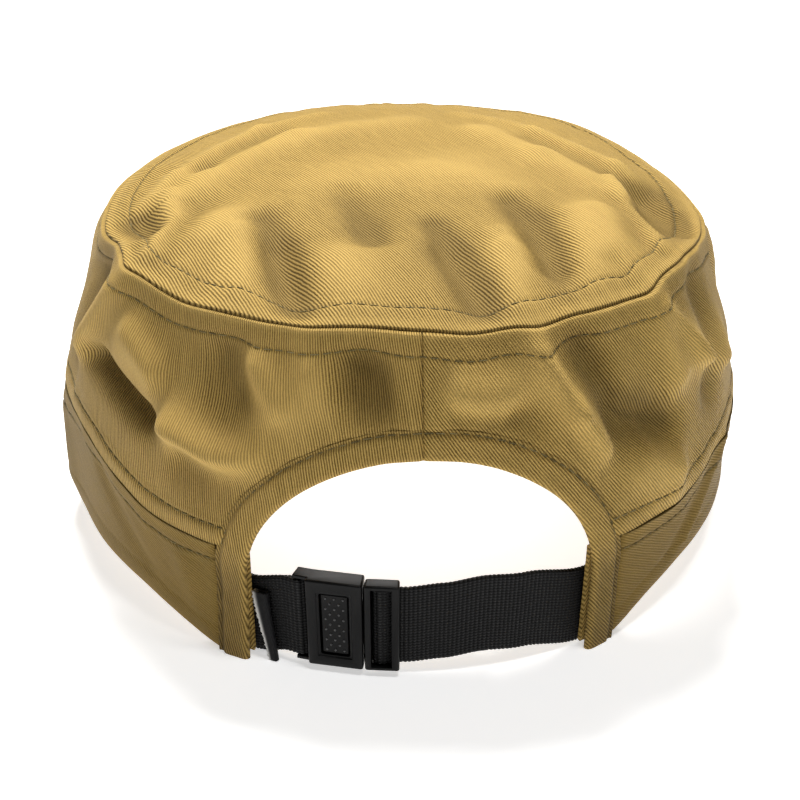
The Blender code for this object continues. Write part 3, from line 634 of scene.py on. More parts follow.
def make_stitches(name, lines, material, seed):
    """Threads along lines of (points, normals): each stitch rises from the cloth and goes back in."""
    rng = np.random.default_rng(seed)
    lifts = np.array([-1.6, 0.35, 0.8, 0.8, 0.35, -1.6]) * THREAD_RADIUS
    shares = np.array([0, 0.14, 0.38, 0.62, 0.86, 1.0])
    sides = 6
    points = []
    for path, normals in lines:
        gone = np.concatenate([[0], np.cumsum(np.linalg.norm(np.diff(path, axis=0), axis=1))])
        count = int(gone[-1] / STITCH_PITCH)
        starts = (np.arange(count) + 0.1) * gone[-1] / count
        starts += rng.uniform(-0.06, 0.06, count) * STITCH_PITCH
        length = (gone[-1] / count - STITCH_GAP) * rng.uniform(0.92, 1.04, count)
        places = starts[:, None] + length[:, None] * shares
        middle = np.stack([np.interp(places, gone, path[:, axis]) for axis in range(3)], -1)
        normal = np.stack([np.interp(places, gone, normals[:, axis]) for axis in range(3)], -1)
        normal /= np.linalg.norm(normal, axis=-1, keepdims=True)
        run = np.gradient(middle, axis=1)
        run /= np.linalg.norm(run, axis=-1, keepdims=True)
        side = np.cross(run, normal)
        sway = rng.normal(0, 0.22, (count, 1)) * THREAD_RADIUS
        tilt = rng.normal(0, 0.45, (count, 1)) * THREAD_RADIUS * (shares - 0.5) * 2
        middle = middle + normal * lifts[None, :, None] + side * (sway + tilt)[..., None]
        turn = np.arange(sides) * 2 * math.pi / sides
        ring = normal[:, :, None, :] * np.cos(turn)[:, None] + side[:, :, None, :] * np.sin(turn)[:, None]
        points.append(middle[:, :, None, :] + ring * THREAD_RADIUS)
    points = np.concatenate(points)
    count, sections = points.shape[:2]
    faces = grid_faces(sections, sides, round_rows=True)
    caps = np.array([[3, 2, 1, 0], [5, 4, 3, 0]])
    ends = np.concatenate([caps, (sections - 1) * sides + caps[:, ::-1]])
    faces = np.concatenate([faces, ends])
    faces = (faces[None] + (np.arange(count) * sections * sides)[:, None, None]).reshape(-1, 4)
    along = np.broadcast_to(shares[None, :, None] * STITCH_PITCH, (count, sections, sides))
    about = np.broadcast_to((np.arange(sides) / sides * MM)[None, None, :], along.shape)
    coordinates = np.stack([along, about], -1).reshape(-1, 2)
    wear_and_painted_light = np.repeat(rng.uniform(0, 1, count), sections * sides)
    obj = new_mesh(name, points.reshape(-1, 3), faces, coordinates, wear_and_painted_light, material)
    add_detail(obj)
    return obj


# Angles round the whole cap for a row of stitches, and the steps at which normals are measured
WHOLE_ROUND = np.linspace(-179.9, 179.9, 1400)
ANGLE_STEP = 0.3
HEIGHT_STEP = 0.8 * MM


def normals_of(place, first, second, step_first, step_second):
    """Points of a surface along a line of its two parameters, and its normals there."""
    points = place(first, second)
    run = place(first + step_first, second) - place(first - step_first, second)
    rise = place(first, second + step_second) - place(first, second - step_second)
    normals = np.cross(run, rise)
    return points, normals / np.linalg.norm(normals, axis=-1, keepdims=True)


class Nodes:
    """Short calls for building a material's nodes."""

    def __init__(self, name):
        self.material = bpy.data.materials.new(name)
        self.material.use_nodes = True
        self.tree = self.material.node_tree
        self.shader = self.tree.nodes["Principled BSDF"]

    def add(self, kind, **settings):
        node = self.tree.nodes.new(kind)
        for key, value in settings.items():
            setattr(node, key, value)
        return node

    def join(self, source, target):
        self.tree.links.new(source, target)

    def math(self, operation, first, second=None, third=None):
        """A Math node. Its inputs are sockets or numbers."""
        node = self.add("ShaderNodeMath", operation=operation)
        for socket, value in zip(node.inputs, (first, second, third)):
            if value is None:
                continue
            if isinstance(value, (int, float)):
                socket.default_value = value
            else:
                self.join(value, socket)
        return node.outputs[0]

    def cloth(self):
        """The two cloth coordinates, in metres."""
        source = self.add("ShaderNodeUVMap", uv_map="cloth")
        split = self.add("ShaderNodeSeparateXYZ")
        self.join(source.outputs[0], split.inputs[0])
        return source.outputs[0], split.outputs[0], split.outputs[1]

    def noise(self, vector, size, detail=2.0, roughness=0.5):
        """Noise with bumps of a size, from about 0 to 1."""
        node = self.add("ShaderNodeTexNoise")
        node.inputs["Scale"].default_value = 1 / size
        node.inputs["Detail"].default_value = detail
        node.inputs["Roughness"].default_value = roughness
        self.join(vector, node.inputs["Vector"])
        return node.outputs["Fac"]

    def wave(self, place, period):
        """A sine of a place, from 0 to 1."""
        turns = self.math("MULTIPLY", place, 2 * math.pi / period)
        return self.math("MULTIPLY_ADD", self.math("SINE", turns), 0.5, 0.5)

    def colors(self, share, stops):
        """A colour ramp of (place, colour) stops."""
        node = self.add("ShaderNodeValToRGB")
        node.color_ramp.elements.remove(node.color_ramp.elements[1])
        node.color_ramp.elements[0].position = stops[0][0]
        node.color_ramp.elements[0].color = (*stops[0][1], 1)
        for place, color in stops[1:]:
            node.color_ramp.elements.new(place).color = (*color, 1)
        self.join(share, node.inputs[0])
        return node.outputs[0]

    def blend(self, share, first, second, kind="MIX"):
        node = self.add("ShaderNodeMix", data_type="RGBA", blend_type=kind)
        for socket, value in ((node.inputs[0], share), (node.inputs[6], first), (node.inputs[7], second)):
            if isinstance(value, float):
                socket.default_value = value
            elif isinstance(value, tuple):
                socket.default_value = (*value, 1)
            else:
                self.join(value, socket)
        return node.outputs[2]

    def attribute(self, name):
        node = self.add("ShaderNodeAttribute", attribute_name=name)
        return node.outputs["Fac"]

    def bump(self, height, depth):
        node = self.add("ShaderNodeBump")
        node.inputs["Distance"].default_value = depth
        self.join(height, node.inputs["Height"])
        return node.outputs[0]

    def shade(self, color, roughness, specular, normal):
        """Gives the shader its colour, roughness, specular level and normal."""
        inputs = self.shader.inputs
        self.join(color, inputs["Base Color"])
        if isinstance(roughness, float):
            inputs["Roughness"].default_value = roughness
        else:
            self.join(roughness, inputs["Roughness"])
        inputs["Specular IOR Level"].default_value = specular
        self.join(normal, inputs["Normal"])
        return self.material


TWILL_PITCH = 0.69 * MM
TWILL_DEPTH = 0.14 * MM
YARN_PITCH = 0.42 * MM

# Light and dark colours of each material, and of the label's raw edge. The plastics are grey.
TWILL_LIGHT = (0.62, 0.41, 0.118)
TWILL_DARK = (0.078, 0.044, 0.0055)
# The band's colours are the twill's, darkened as painted shade
BAND_SHADED_LIGHT = (0.43, 0.28, 0.070)
BAND_SHADED_DARK = (0.11, 0.065, 0.008)
THREAD_LIGHT = (0.36, 0.29, 0.13)
THREAD_DARK = (0.10, 0.076, 0.028)
WEBBING_LIGHT = (0.026, 0.026, 0.0265)
WEBBING_DARK = (0.0008, 0.0008, 0.0008)
LABEL_LIGHT = (0.017, 0.017, 0.018)
LABEL_DARK = (0.005, 0.005, 0.0055)
LABEL_RAW = (0.80, 0.79, 0.76)
PLASTIC_LIGHT = 0.005
PLASTIC_DARK = 0.0025
# The grip domes are pale grey, as painted highlight on the black plastic
GRIP_HIGHLIGHT_LIGHT = 0.16
GRIP_HIGHLIGHT_DARK = 0.08


def make_twill(name, light, dark, contrast, depth):
    """Cotton twill with its ribs along the second cloth coordinate."""
    nodes = Nodes(name)
    place, across, along = nodes.cloth()
    waver = nodes.math("MULTIPLY", nodes.noise(place, 9 * MM), 0.5 * MM)
    jitter = nodes.math("MULTIPLY", nodes.noise(place, 1.6 * MM), 0.22 * MM)
    across = nodes.math("ADD", across, nodes.math("ADD", waver, jitter))
    rib = nodes.wave(across, TWILL_PITCH)
    ridge = nodes.math("POWER", rib, 0.85)
    slanted = nodes.math("MULTIPLY_ADD", across, 0.8, along)
    yarn = nodes.wave(slanted, YARN_PITCH)
    fibre = nodes.noise(place, 0.5 * MM, 3.0, 0.6)
    cloud = nodes.noise(place, 28 * MM, 3.0, 0.55)
    streak_place = nodes.add("ShaderNodeCombineXYZ")
    nodes.join(nodes.math("MULTIPLY", across, 6.0), streak_place.inputs[0])
    nodes.join(nodes.math("MULTIPLY", along, 0.4), streak_place.inputs[1])
    streak = nodes.noise(streak_place.outputs[0], 4 * MM, 2.0)

    patch = nodes.noise(place, 6 * MM, 3.0, 0.6)
    strength = nodes.math("MULTIPLY", nodes.math("MULTIPLY_ADD", patch, 0.9, 0.5), contrast)
    share = nodes.math("MULTIPLY_ADD", nodes.math("SUBTRACT", ridge, 0.62), strength, 0.62)
    for value, weight in ((fibre, 0.75), (streak, 0.40), (yarn, 0.10)):
        share = nodes.math("MULTIPLY_ADD", nodes.math("SUBTRACT", value, 0.5), weight, share)
    color = nodes.colors(share, ((0.0, dark), (0.95, light)))
    shade = nodes.colors(cloud, ((0.3, (0.90, 0.90, 0.90)), (0.7, (1.0, 1.0, 1.0))))
    color = nodes.blend(1.0, color, shade, "MULTIPLY")
    # The wear value pales the cloth where it is worn and as painted highlight, and darkens it where it is
    # soiled and as painted shade
    wear_and_painted_light = nodes.attribute("wear_and_painted_light")
    fading_and_painted_highlight = nodes.math("MAXIMUM", wear_and_painted_light, 0.0)
    soil_and_painted_shade = nodes.math("MAXIMUM", nodes.math("MULTIPLY", wear_and_painted_light, -1.0), 0.0)
    pale = tuple(min(c * 1.35 + 0.02, 1) for c in light)
    color = nodes.blend(nodes.math("MULTIPLY", fading_and_painted_highlight, 0.5), color, pale)
    color = nodes.blend(nodes.math("MULTIPLY", soil_and_painted_shade, 0.75), color, tuple(c * 0.35 for c in dark))

    roughness = nodes.math("MULTIPLY_ADD", ridge, -0.10, 0.66)
    roughness = nodes.math("MULTIPLY_ADD", fibre, 0.12, roughness)
    nodes.shader.inputs["Sheen Weight"].default_value = 0.02
    nodes.shader.inputs["Sheen Roughness"].default_value = 0.45
    nodes.shader.inputs["Sheen Tint"].default_value = (1.0, 0.88, 0.62, 1)

    height = nodes.math("MULTIPLY_ADD", yarn, 0.18, ridge)
    height = nodes.math("MULTIPLY_ADD", fibre, 0.35, height)
    return nodes.shade(color, roughness, 0.13, nodes.bump(height, depth))


def make_thread(name, light, dark):
    """Sewing thread: twisted, a little worn."""
    nodes = Nodes(name)
    place, along, about = nodes.cloth()
    twist = nodes.wave(nodes.math("MULTIPLY_ADD", about, 0.45, along), 0.42 * MM)
    wear_and_painted_light = nodes.attribute("wear_and_painted_light")
    share = nodes.math("MULTIPLY_ADD", wear_and_painted_light, 0.5, nodes.math("MULTIPLY", twist, 0.5))
    color = nodes.colors(share, ((0.1, dark), (0.9, light)))
    return nodes.shade(color, 0.7, 0.15, nodes.bump(twist, 0.08 * MM))


def make_webbing_material():
    """Black polyester webbing: cross ribs in the mesh, with fine yarns over them."""
    nodes = Nodes("black_webbing_weave")
    place, along, up = nodes.cloth()
    rows = nodes.wave(up, 0.8 * MM)
    columns = nodes.wave(along, WEBBING_RIB)
    fibre = nodes.noise(place, 0.35 * MM, 3.0, 0.65)
    share = nodes.math("MULTIPLY", rows, columns)
    share = nodes.math("MULTIPLY_ADD", fibre, 0.6, nodes.math("MULTIPLY", share, 0.6))
    color = nodes.colors(share, ((0.32, WEBBING_DARK), (0.9, WEBBING_LIGHT)))
    height = nodes.math("MULTIPLY_ADD", fibre, 0.8, rows)
    return nodes.shade(color, 0.55, 0.16, nodes.bump(height, 0.12 * MM))


def make_plastic(name, light, dark):
    """Satin moulded plastic, lightly scuffed."""
    nodes = Nodes(name)
    place = nodes.add("ShaderNodeTexCoord").outputs["Object"]
    grain = nodes.noise(place, 0.45 * MM, 2.0)
    scuff = nodes.noise(place, 7 * MM, 4.0, 0.6)
    share = nodes.math("MULTIPLY_ADD", grain, 0.3, nodes.math("MULTIPLY", scuff, 0.7))
    color = nodes.colors(share, ((0.3, (dark, dark, dark)), (0.7, (light, light, light))))
    roughness = nodes.math("MULTIPLY_ADD", scuff, 0.2, 0.28)
    return nodes.shade(color, roughness, 0.16, nodes.bump(grain, 0.012 * MM))


def make_label_material():
    """Smooth charcoal tape with a woven selvedge."""
    nodes = Nodes("label_tape_weave")
    place, along, up = nodes.cloth()
    weave = nodes.math("MULTIPLY", nodes.wave(along, 0.3 * MM), nodes.wave(up, 0.3 * MM))
    fibre = nodes.noise(place, 0.6 * MM, 3.0)
    share = nodes.math("MULTIPLY_ADD", fibre, 0.6, nodes.math("MULTIPLY", weave, 0.5))
    dark = nodes.colors(share, ((0.2, LABEL_DARK), (0.8, LABEL_LIGHT)))
    color = nodes.blend(nodes.attribute("wear_and_painted_light"), dark, LABEL_RAW)
    return nodes.shade(color, 0.6, 0.12, nodes.bump(weave, 0.05 * MM))


# The panels of the wall

CREASE_DEPTH = 0.25 * MM
PANEL_SINK = 0.9 * MM
CROWN_EDGE = -0.45 * MM
BACK_SEAM_GROOVE = 0.45 * MM
BACK_SEAM_WIDTH = 0.6 * MM
BACK_SEAM_PUFF = 0.2 * MM
SINK_ANGLE = 45
ALLOWANCE = 1.2 * MM
ALLOWANCE_DEPTH = 1.1 * MM
HEM_ROUND = 1.1 * MM
HEM_MARGIN = 0.9 * MM
HEM_LAP = 1.6 * MM
HEM_PUFF = 0.5 * MM
HEM_LENGTH = 190 * MM
DARK_LINE_WIDTH = 0.4 * MM

# Degrees by which the twill's ribs lean left, on each piece
LEFT_LEAN = 12
RIGHT_LEAN = 40
BAND_LEAN = 62
SWEATBAND_LEAN = -30
CROWN_LEAN = 24
PEAK_LEAN = -28


def arch_edge(turn):
    """The arch's edge in the x-z plane, from 0 at the foot of its right side to 1 at its left one.

    The third and fourth values point away from the opening.
    """
    half = ARCH_WIDTH / 2
    rise = ARCH_HEIGHT - ARCH_STRAIGHT
    foot = ARCH_STRAIGHT
    over = 0.5 * math.pi * (half + rise)
    gone = turn * (2 * foot + over)
    t = np.clip((gone - foot) / over, 0, 1) * math.pi
    x = half * np.cos(t)
    left = 2 * foot + over - gone
    z = np.where(gone < foot, gone, np.where(gone > foot + over, left, foot + rise * np.sin(t)))
    out_x = np.cos(t) * rise
    out_z = np.sin(t) * half
    length = np.hypot(out_x, out_z)
    return x, z, out_x / length, out_z / length


def angle_at(x, height):
    """The angle at which the back of the wall has a place across and a height."""
    angle = np.degrees(np.arcsin(np.clip(x / (SEAM_WIDTH / 2), -0.99, 0.99)))
    for _ in range(6):
        miss = x - wall_place(angle, height)[..., 0]
        angle = angle + np.degrees(miss / (SEAM_WIDTH / 2 * np.cos(np.radians(angle))))
    return angle


def from_arch(x, height):
    """Roughly how far a place of the back lies outside the arch's edge, negative in the opening."""
    half = ARCH_WIDTH / 2
    rise = ARCH_HEIGHT - ARCH_STRAIGHT
    up = np.maximum(height - ARCH_STRAIGHT, 0)
    share = np.hypot(x / half, up / rise)
    slope = np.hypot(x / half ** 2, up / rise ** 2) / np.maximum(share, 0.01)
    return (share - 1) / slope


def wall_relief(angle, height):
    """Everything that lifts the wall's cloth off its smooth shape."""
    along = around(angle)
    seam = band_seam(angle)
    top = crown_seam(angle)[0] - CREASE_DEPTH
    relief = seam_relief(along, top - height, WALL_STITCH, 11)
    relief += seam_relief(along, height - seam, BAND_STITCH, 12)
    relief += RIPPLE_DEPTH * ripple(along, height, RIPPLE_SIZE, 13)
    relief += RIPPLE_DEPTH / 3 * ripple(along, height, RIPPLE_SIZE / 2.6, 14)
    place = wall_place(angle, height)
    near = 1 - ramp(from_arch(place[..., 0], height), HEM_STITCH - 0.3 * MM, HEM_STITCH + 1.3 * MM)
    relief -= PANEL_SINK * near * (np.abs(angle) < SINK_ANGLE)
    beside = np.abs(around(np.minimum(np.abs(angle), 180 - np.abs(angle))))
    relief -= BACK_SEAM_GROOVE * bell(beside, 0, BACK_SEAM_WIDTH)
    relief += BACK_SEAM_PUFF * bell(beside, 3 * MM, 2.5 * MM)
    return relief


def wall_cloth(angle, height):
    return wall_place(angle, height, wall_relief(angle, height))


def wall_coordinates(angle, height, lean):
    return turned(around(angle), height, lean)


def wall_wear_and_painted_light(angle, height):
    """Darker in the seams and beside the stitches, lighter just beside them; where the cloth stands proud,
    lighter as fading and painted highlight, and in its hollows darker as painted shade.
    """
    below = crown_seam(angle)[0] - CREASE_DEPTH - height
    above = height - band_seam(angle)
    dark = 0.9 * bell(below, -LIP_RISE, 0.12 * MM) + 0.8 * bell(above, 0, 0.3 * MM)
    dark += 0.45 * bell(below, WALL_STITCH, DARK_LINE_WIDTH) + 0.45 * bell(above, BAND_STITCH, DARK_LINE_WIDTH)
    light = 0.5 * bell(below, 0.3 * MM, 0.6 * MM) + 0.25 * bell(above, 1.6 * MM, 1.2 * MM)
    # The folds add painted highlight on their ridges and painted shade in their hollows
    return light - dark + fold_fading_and_painted_light(wall_fold(angle, level_of(angle, height)))


def hem_height_offset(distance):
    """Lift of the hem's outer face at a distance from the arch's edge."""
    puff = HEM_PUFF * (1 - ramp(distance, HEM_STITCH - 1.2 * MM, HEM_STITCH + 0.7 * MM))
    groove = 0.4 * MM * bell(distance, HEM_STITCH, 0.5 * MM)
    return puff - groove


def make_wall(name, sign, lean, material):
    """Half of the wall: the panel's cloth, and the hem round the arch and down the flap."""
    angles = sign * spaced((0, 3, 9), (3, 180, 190))
    seam = band_seam(angles)[:, None]
    top = (crown_seam(angles)[0] - CREASE_DEPTH)[:, None]
    middle = np.linspace(0, 1, 34)[1:-1]
    shares = np.concatenate([0 * SEAM_ROWS, middle, 0 * SEAM_ROWS + 1])
    offsets = np.concatenate([SEAM_ROWS, mix(SEAM_ROWS[-1], -SEAM_ROWS[-1], middle), -SEAM_ROWS[::-1]])
    heights = mix(seam, top, shares) + offsets
    angle = np.broadcast_to(angles[:, None], heights.shape)
    points = wall_cloth(angle, heights)
    low = wall_place(angles, seam[:, 0] - ALLOWANCE, -ALLOWANCE_DEPTH)[:, None]
    high = wall_place(angles, top[:, 0] + LIP_RISE, -LIP_REACH)[:, None]
    points = np.concatenate([low, points, high], 1)
    heights = np.concatenate([seam - ALLOWANCE, heights, top + LIP_RISE], 1)
    angle = np.broadcast_to(angles[:, None], heights.shape)
    cells = 0.25 * (points[1:, 1:] + points[:-1, 1:] + points[1:, :-1] + points[:-1, :-1])
    keep = (from_arch(cells[..., 0], cells[..., 2]) > HEM_WIDTH - HEM_LAP) | (cells[..., 1] > 0)
    coordinates = wall_coordinates(angle, heights, lean)
    panel = loft(name, points, coordinates, wall_wear_and_painted_light(angle, heights), material, keep, flip=sign < 0)
    thicken(panel, PANEL_CLOTH)
    applied(panel, "thickness")
    hem = make_hem(name + "_hem", sign, lean, material)
    return joined([panel, hem])


def make_hem(name, sign, lean, material):
    """The turned edge of the wall, from the back seam to the foot of a flap."""
    turns = spaced((0.0, 0.5, 130)) if sign > 0 else spaced((1.0, 0.5, 130))
    edge_x, edge_z, out_x, out_z = [value[:, None] for value in arch_edge(turns)]
    beyond = HEM_STITCH + HEM_MARGIN
    before = HEM_STITCH - HEM_MARGIN
    flat = spaced((beyond, before, 8), (before, HEM_ROUND, 6))
    bend = half_turn(9)
    distance = np.concatenate([flat, HEM_ROUND - HEM_ROUND * np.sin(bend), flat[::-1]])[None]
    lifts = np.concatenate([
        hem_height_offset(flat),
        HEM_PUFF - HEM_ROUND + HEM_ROUND * np.cos(bend),
        0 * flat + HEM_PUFF - 2 * HEM_ROUND,
    ])[None]
    distance = np.minimum(distance, HEM_WIDTH + HEM_MARGIN)
    x = edge_x + out_x * distance
    z = np.maximum(edge_z + out_z * distance, 0)
    angle = angle_at(x, z)
    along = np.broadcast_to(turns[:, None], x.shape) * HEM_LENGTH
    near = bell(distance, HEM_STITCH, 3 * MM)
    pucker = 0.28 * MM * near * ripple(along + 3, distance, 4 * MM, 21)
    base = RIPPLE_DEPTH * ripple(around(angle), z, RIPPLE_SIZE, 13)
    base -= BACK_SEAM_GROOVE * bell(np.abs(around(angle)), 0, BACK_SEAM_WIDTH)
    points = wall_place(angle, z, lifts + pucker + base)
    wear_and_painted_light = 0.3 * bell(distance, 0.4 * MM, 0.8 * MM) - 0.4 * bell(distance, HEM_STITCH, 0.5 * MM)
    wear_and_painted_light = wear_and_painted_light - 0.4 * bell(distance, HEM_STITCH + 1.2 * MM, 0.5 * MM)
    # Darker towards the bottom of the flaps, as painted shade
    wear_and_painted_light = wear_and_painted_light - 0.6 * (1 - ramp(z, 20 * MM, BAND_HEIGHT))
    coordinates = wall_coordinates(angle, z, lean)
    return loft(name, points, coordinates, wear_and_painted_light, material, flip=sign > 0, round_rows=True)


def hem_cloth(x, height):
    """The hem's outer face along its stitches, at a place across and a height."""
    angle = angle_at(x, height)
    lift = hem_height_offset(HEM_STITCH) + RIPPLE_DEPTH * ripple(around(angle), height, RIPPLE_SIZE, 13)
    return wall_place(angle, height, lift)


# The band

def band_relief(angle, height):
    along = around(angle)
    relief = seam_relief(along, band_seam(angle) - BAND_SEAM_GAP - height, BAND_STITCH, 15)
    relief += 0.7 * RIPPLE_DEPTH * ripple(along, height, RIPPLE_SIZE, 16)
    relief += 0.25 * MM * bell(height - rim_height(angle), 3.2 * MM, 2.2 * MM)
    relief -= 0.2 * MM * bell(height - rim_height(angle), 6.2 * MM, 0.6 * MM)
    return relief


def band_cloth(angle, height):
    return wall_place(angle, height, band_relief(angle, height))


def hem_angle():
    """Angle at which the hem beside the arch ends and the band starts."""
    return math.degrees(math.asin((ARCH_WIDTH / 2 + HEM_WIDTH) / (RIM_WIDTH / 2)))


def closed_strip(angles, top_rows, cloth, top, bottom, thickness):
    """Rows of a strip of cloth: down its outer face, round its lower edge and up inside."""
    radius = thickness / 2
    share = np.linspace(0, 1, 26)[None]
    outer_top = top - top_rows[None]
    outer = mix(outer_top[:, -1:], bottom + radius, share[:, 1:])
    bend = half_turn(7)
    bend_z = bottom + radius - radius * np.sin(bend)[None]
    bend_in = np.broadcast_to((radius - radius * np.cos(bend))[None], bend_z.shape)
    heights = np.concatenate([outer_top, outer, bend_z, outer[:, ::-1], outer_top[:, ::-1]], 1)
    count = outer_top.shape[1] + outer.shape[1]
    angle = np.broadcast_to(angles[:, None], heights.shape)
    inset = np.concatenate([
        np.zeros((len(angles), count)), bend_in, np.full((len(angles), count), thickness)], 1)
    points = cloth(angle, heights, inset)
    return angle, heights, inset, points


def make_band(material):
    start = hem_angle() + 0.25
    angles = spaced((start, 360 - start, 350))
    top = (band_seam(wrapped(angles)) - BAND_SEAM_GAP)[:, None]
    bottom = rim_height(wrapped(angles))[:, None]

    def cloth(angle, height, inset):
        relief = band_relief(wrapped(angle), height)
        end = np.minimum(angle - start, 360 - start - angle)
        relief = relief - 0.5 * MM * bell(around(end), 0, 0.7 * MM)
        return wall_place(angle, height, np.where(inset < BAND_CLOTH / 2, relief, 0) - inset)

    angle, heights, inset, points = closed_strip(angles, SEAM_ROWS, cloth, top, bottom, BAND_CLOTH)
    wear_and_painted_light = 0.2 * bell(top - heights, 1.5 * MM, 1.2 * MM) + 0.3 * bell(heights - bottom, 0.5 * MM, 0.9 * MM)
    wear_and_painted_light = wear_and_painted_light - 0.8 * bell(top - heights, 0, 0.3 * MM) - 0.45 * bell(top - heights, BAND_STITCH, 0.4 * MM)
    # Darker towards the back of the band, as painted shade
    wear_and_painted_light = wear_and_painted_light - BAND_BACK_PAINTED_SHADE * (1 - ramp(np.minimum(angle, 360 - angle), 80, 150))
    coordinates = turned(around(angle), heights, BAND_LEAN)
    return loft("band_cloth", points, coordinates, wear_and_painted_light, material, round_rows=True)


def make_sweatband(material):
    inset_outer = max(PANEL_CLOTH, BAND_CLOTH) + LAYER_GAP
    start = math.degrees(math.asin((ARCH_WIDTH / 2 - SWEATBAND_PEEK) / (RIM_WIDTH / 2 - inset_outer)))
    angles = spaced((start, 360 - start, 300))
    top = (band_seam(wrapped(angles)) - SWEATBAND_DROP)[:, None]
    bottom = rim_height(wrapped(angles))[:, None] + 1.2 * MM

    def cloth(angle, height, inset):
        soft = 0.25 * MM * ripple(around(angle), height, 9 * MM, 31)
        return wall_place(angle, height, soft - inset_outer - inset)

    rows = spaced((0, 6 * MM, 5))
    angle, heights, inset, points = closed_strip(angles, rows, cloth, top, bottom, SWEATBAND_CLOTH)
    coordinates = turned(around(angle), heights, SWEATBAND_LEAN)
    return loft("sweatband_cloth", points, coordinates, 0, material, round_rows=True)


# The crown

# Its net reaches out to a share of its radius, and rings follow. Its edge turns in and down.
NET_CELLS = 92
NET_SHARE = 0.84
RING_RADIUS = 84 * MM
TURN_IN = 0.1 * MM
TURN_DOWN = 0.6 * MM


def crown_fold(x, y):
    """How far the crown's folds and creases lift it at a place in a disc of radius 1."""
    share = np.minimum(np.hypot(x, y), 1)
    reach = np.where(y < 0, CROWN_BACK_REACH, CROWN_LENGTH - CROWN_BACK_REACH)
    folds = (1 - share ** 8) * CROWN_DRAPE_SHARE * folds_at(CROWN_FOLDS, x, y, CROWN_WIDTH / 2, reach)
    creases = (1 - share ** 12) * CROWN_CREASE_SHARE * folds_at(CROWN_CREASES, x, y, CROWN_WIDTH / 2, reach)
    return folds + creases


def crown_place(x, y):
    """A point of the crown's cloth, from a place in a disc of radius 1."""
    share = np.minimum(np.hypot(x, y), 1)
    angle = np.degrees(np.arctan2(x, -y))
    seam_height, _ = crown_seam(angle)
    edge = wall_place(angle, seam_height, CROWN_EDGE)
    middle_y = CAP_SHIFT - CROWN_SETBACK
    height = CROWN_HEIGHT + DOME_RISE * (1 - share ** 4) + (seam_height - CROWN_HEIGHT) * share ** 3
    height += crown_fold(x, y)
    radius = np.hypot(edge[..., 0], edge[..., 1] - middle_y)
    from_edge = (1 - share) * radius
    along = np.radians(angle) * CROWN_LENGTH / 2
    height += seam_relief(along, from_edge, CROWN_STITCH, 41)
    place_x = edge[..., 0] * share
    place_y = mix(middle_y, edge[..., 1], share)
    height += RIPPLE_DEPTH * ripple(place_x + 1, place_y + 1, RIPPLE_SIZE, 42) * (1 - share ** 12)
    height += RIPPLE_DEPTH / 3 * ripple(place_x + 1, place_y + 1, RIPPLE_SIZE / 2.6, 43)
    return np.stack([place_x, place_y, height], -1), from_edge


def make_crown(material):
    """A square net bent into a disc, with rings round it that turn down into the seam."""
    line = np.linspace(-1, 1, NET_CELLS + 1)
    across, along = np.meshgrid(line, line, indexing="ij")
    x = NET_SHARE * across * np.sqrt(1 - along ** 2 / 2)
    y = NET_SHARE * along * np.sqrt(1 - across ** 2 / 2)
    points, from_edge = crown_place(x, y)
    count = NET_CELLS + 1
    last = NET_CELLS
    faces = grid_faces(count, count)
    side = np.arange(last)
    loop = np.concatenate([side * count, last * count + side, (last - side) * count + last, last - side])
    ring_x = x.ravel()[loop] / NET_SHARE
    ring_y = y.ravel()[loop] / NET_SHARE
    seam_shares = 1 - SEAM_ROWS[::-1] / RING_RADIUS
    shares = np.concatenate([np.linspace(NET_SHARE, seam_shares[0], 7)[1:-1], seam_shares])
    ring_x = ring_x[:, None] * shares
    ring_y = ring_y[:, None] * shares
    ring, ring_edge = crown_place(ring_x, ring_y)
    ring_fold = np.concatenate([crown_fold(ring_x, ring_y), np.zeros((len(loop), 1))], 1)
    fold = np.concatenate([crown_fold(x, y).ravel(), ring_fold.ravel()])
    middle = np.array([0, CAP_SHIFT - CROWN_SETBACK, 0])
    inward = middle - ring[:, -1]
    inward[:, 2] = 0
    inward /= np.linalg.norm(inward, axis=-1, keepdims=True)
    under = ring[:, -1:] + (inward * TURN_IN)[:, None] - [0, 0, TURN_DOWN]
    ring = np.concatenate([ring, under], 1)
    ring_edge = np.concatenate([ring_edge, np.zeros((len(ring), 1))], 1)
    rows = ring.shape[1]
    total = len(loop)
    first = count * count
    index = first + np.arange(total)[:, None] * rows + np.arange(rows)[None]
    index = np.concatenate([loop[:, None], index], 1)
    after = np.roll(index, -1, axis=0)
    ring_faces = np.stack([index[:, :-1], index[:, 1:], after[:, 1:], after[:, :-1]], -1).reshape(-1, 4)
    faces = np.concatenate([faces, ring_faces])
    points = np.concatenate([points.reshape(-1, 3), ring.reshape(-1, 3)])
    edge = np.concatenate([from_edge.ravel(), ring_edge.ravel()])
    # Darker at the seam and along the stitches, lighter just inside the edge; the folds, counted double, add
    # painted highlight on their ridges and painted shade in their hollows
    wear_and_painted_light = 0.3 * bell(edge, 1.4 * MM, 1.2 * MM) - 0.7 * bell(edge, 0, 0.25 * MM)
    wear_and_painted_light += fold_fading_and_painted_light(2 * fold) - 0.4 * bell(edge, CROWN_STITCH, 0.4 * MM)
    coordinates = turned(points[:, 0], points[:, 1], CROWN_LEAN)
    crown = new_mesh("crown_cloth", points, faces, coordinates, wear_and_painted_light, material)
    thicken(crown, CROWN_CLOTH)
    return crown


def crown_cloth(x, y):
    return crown_place(x, y)[0]


# The peak

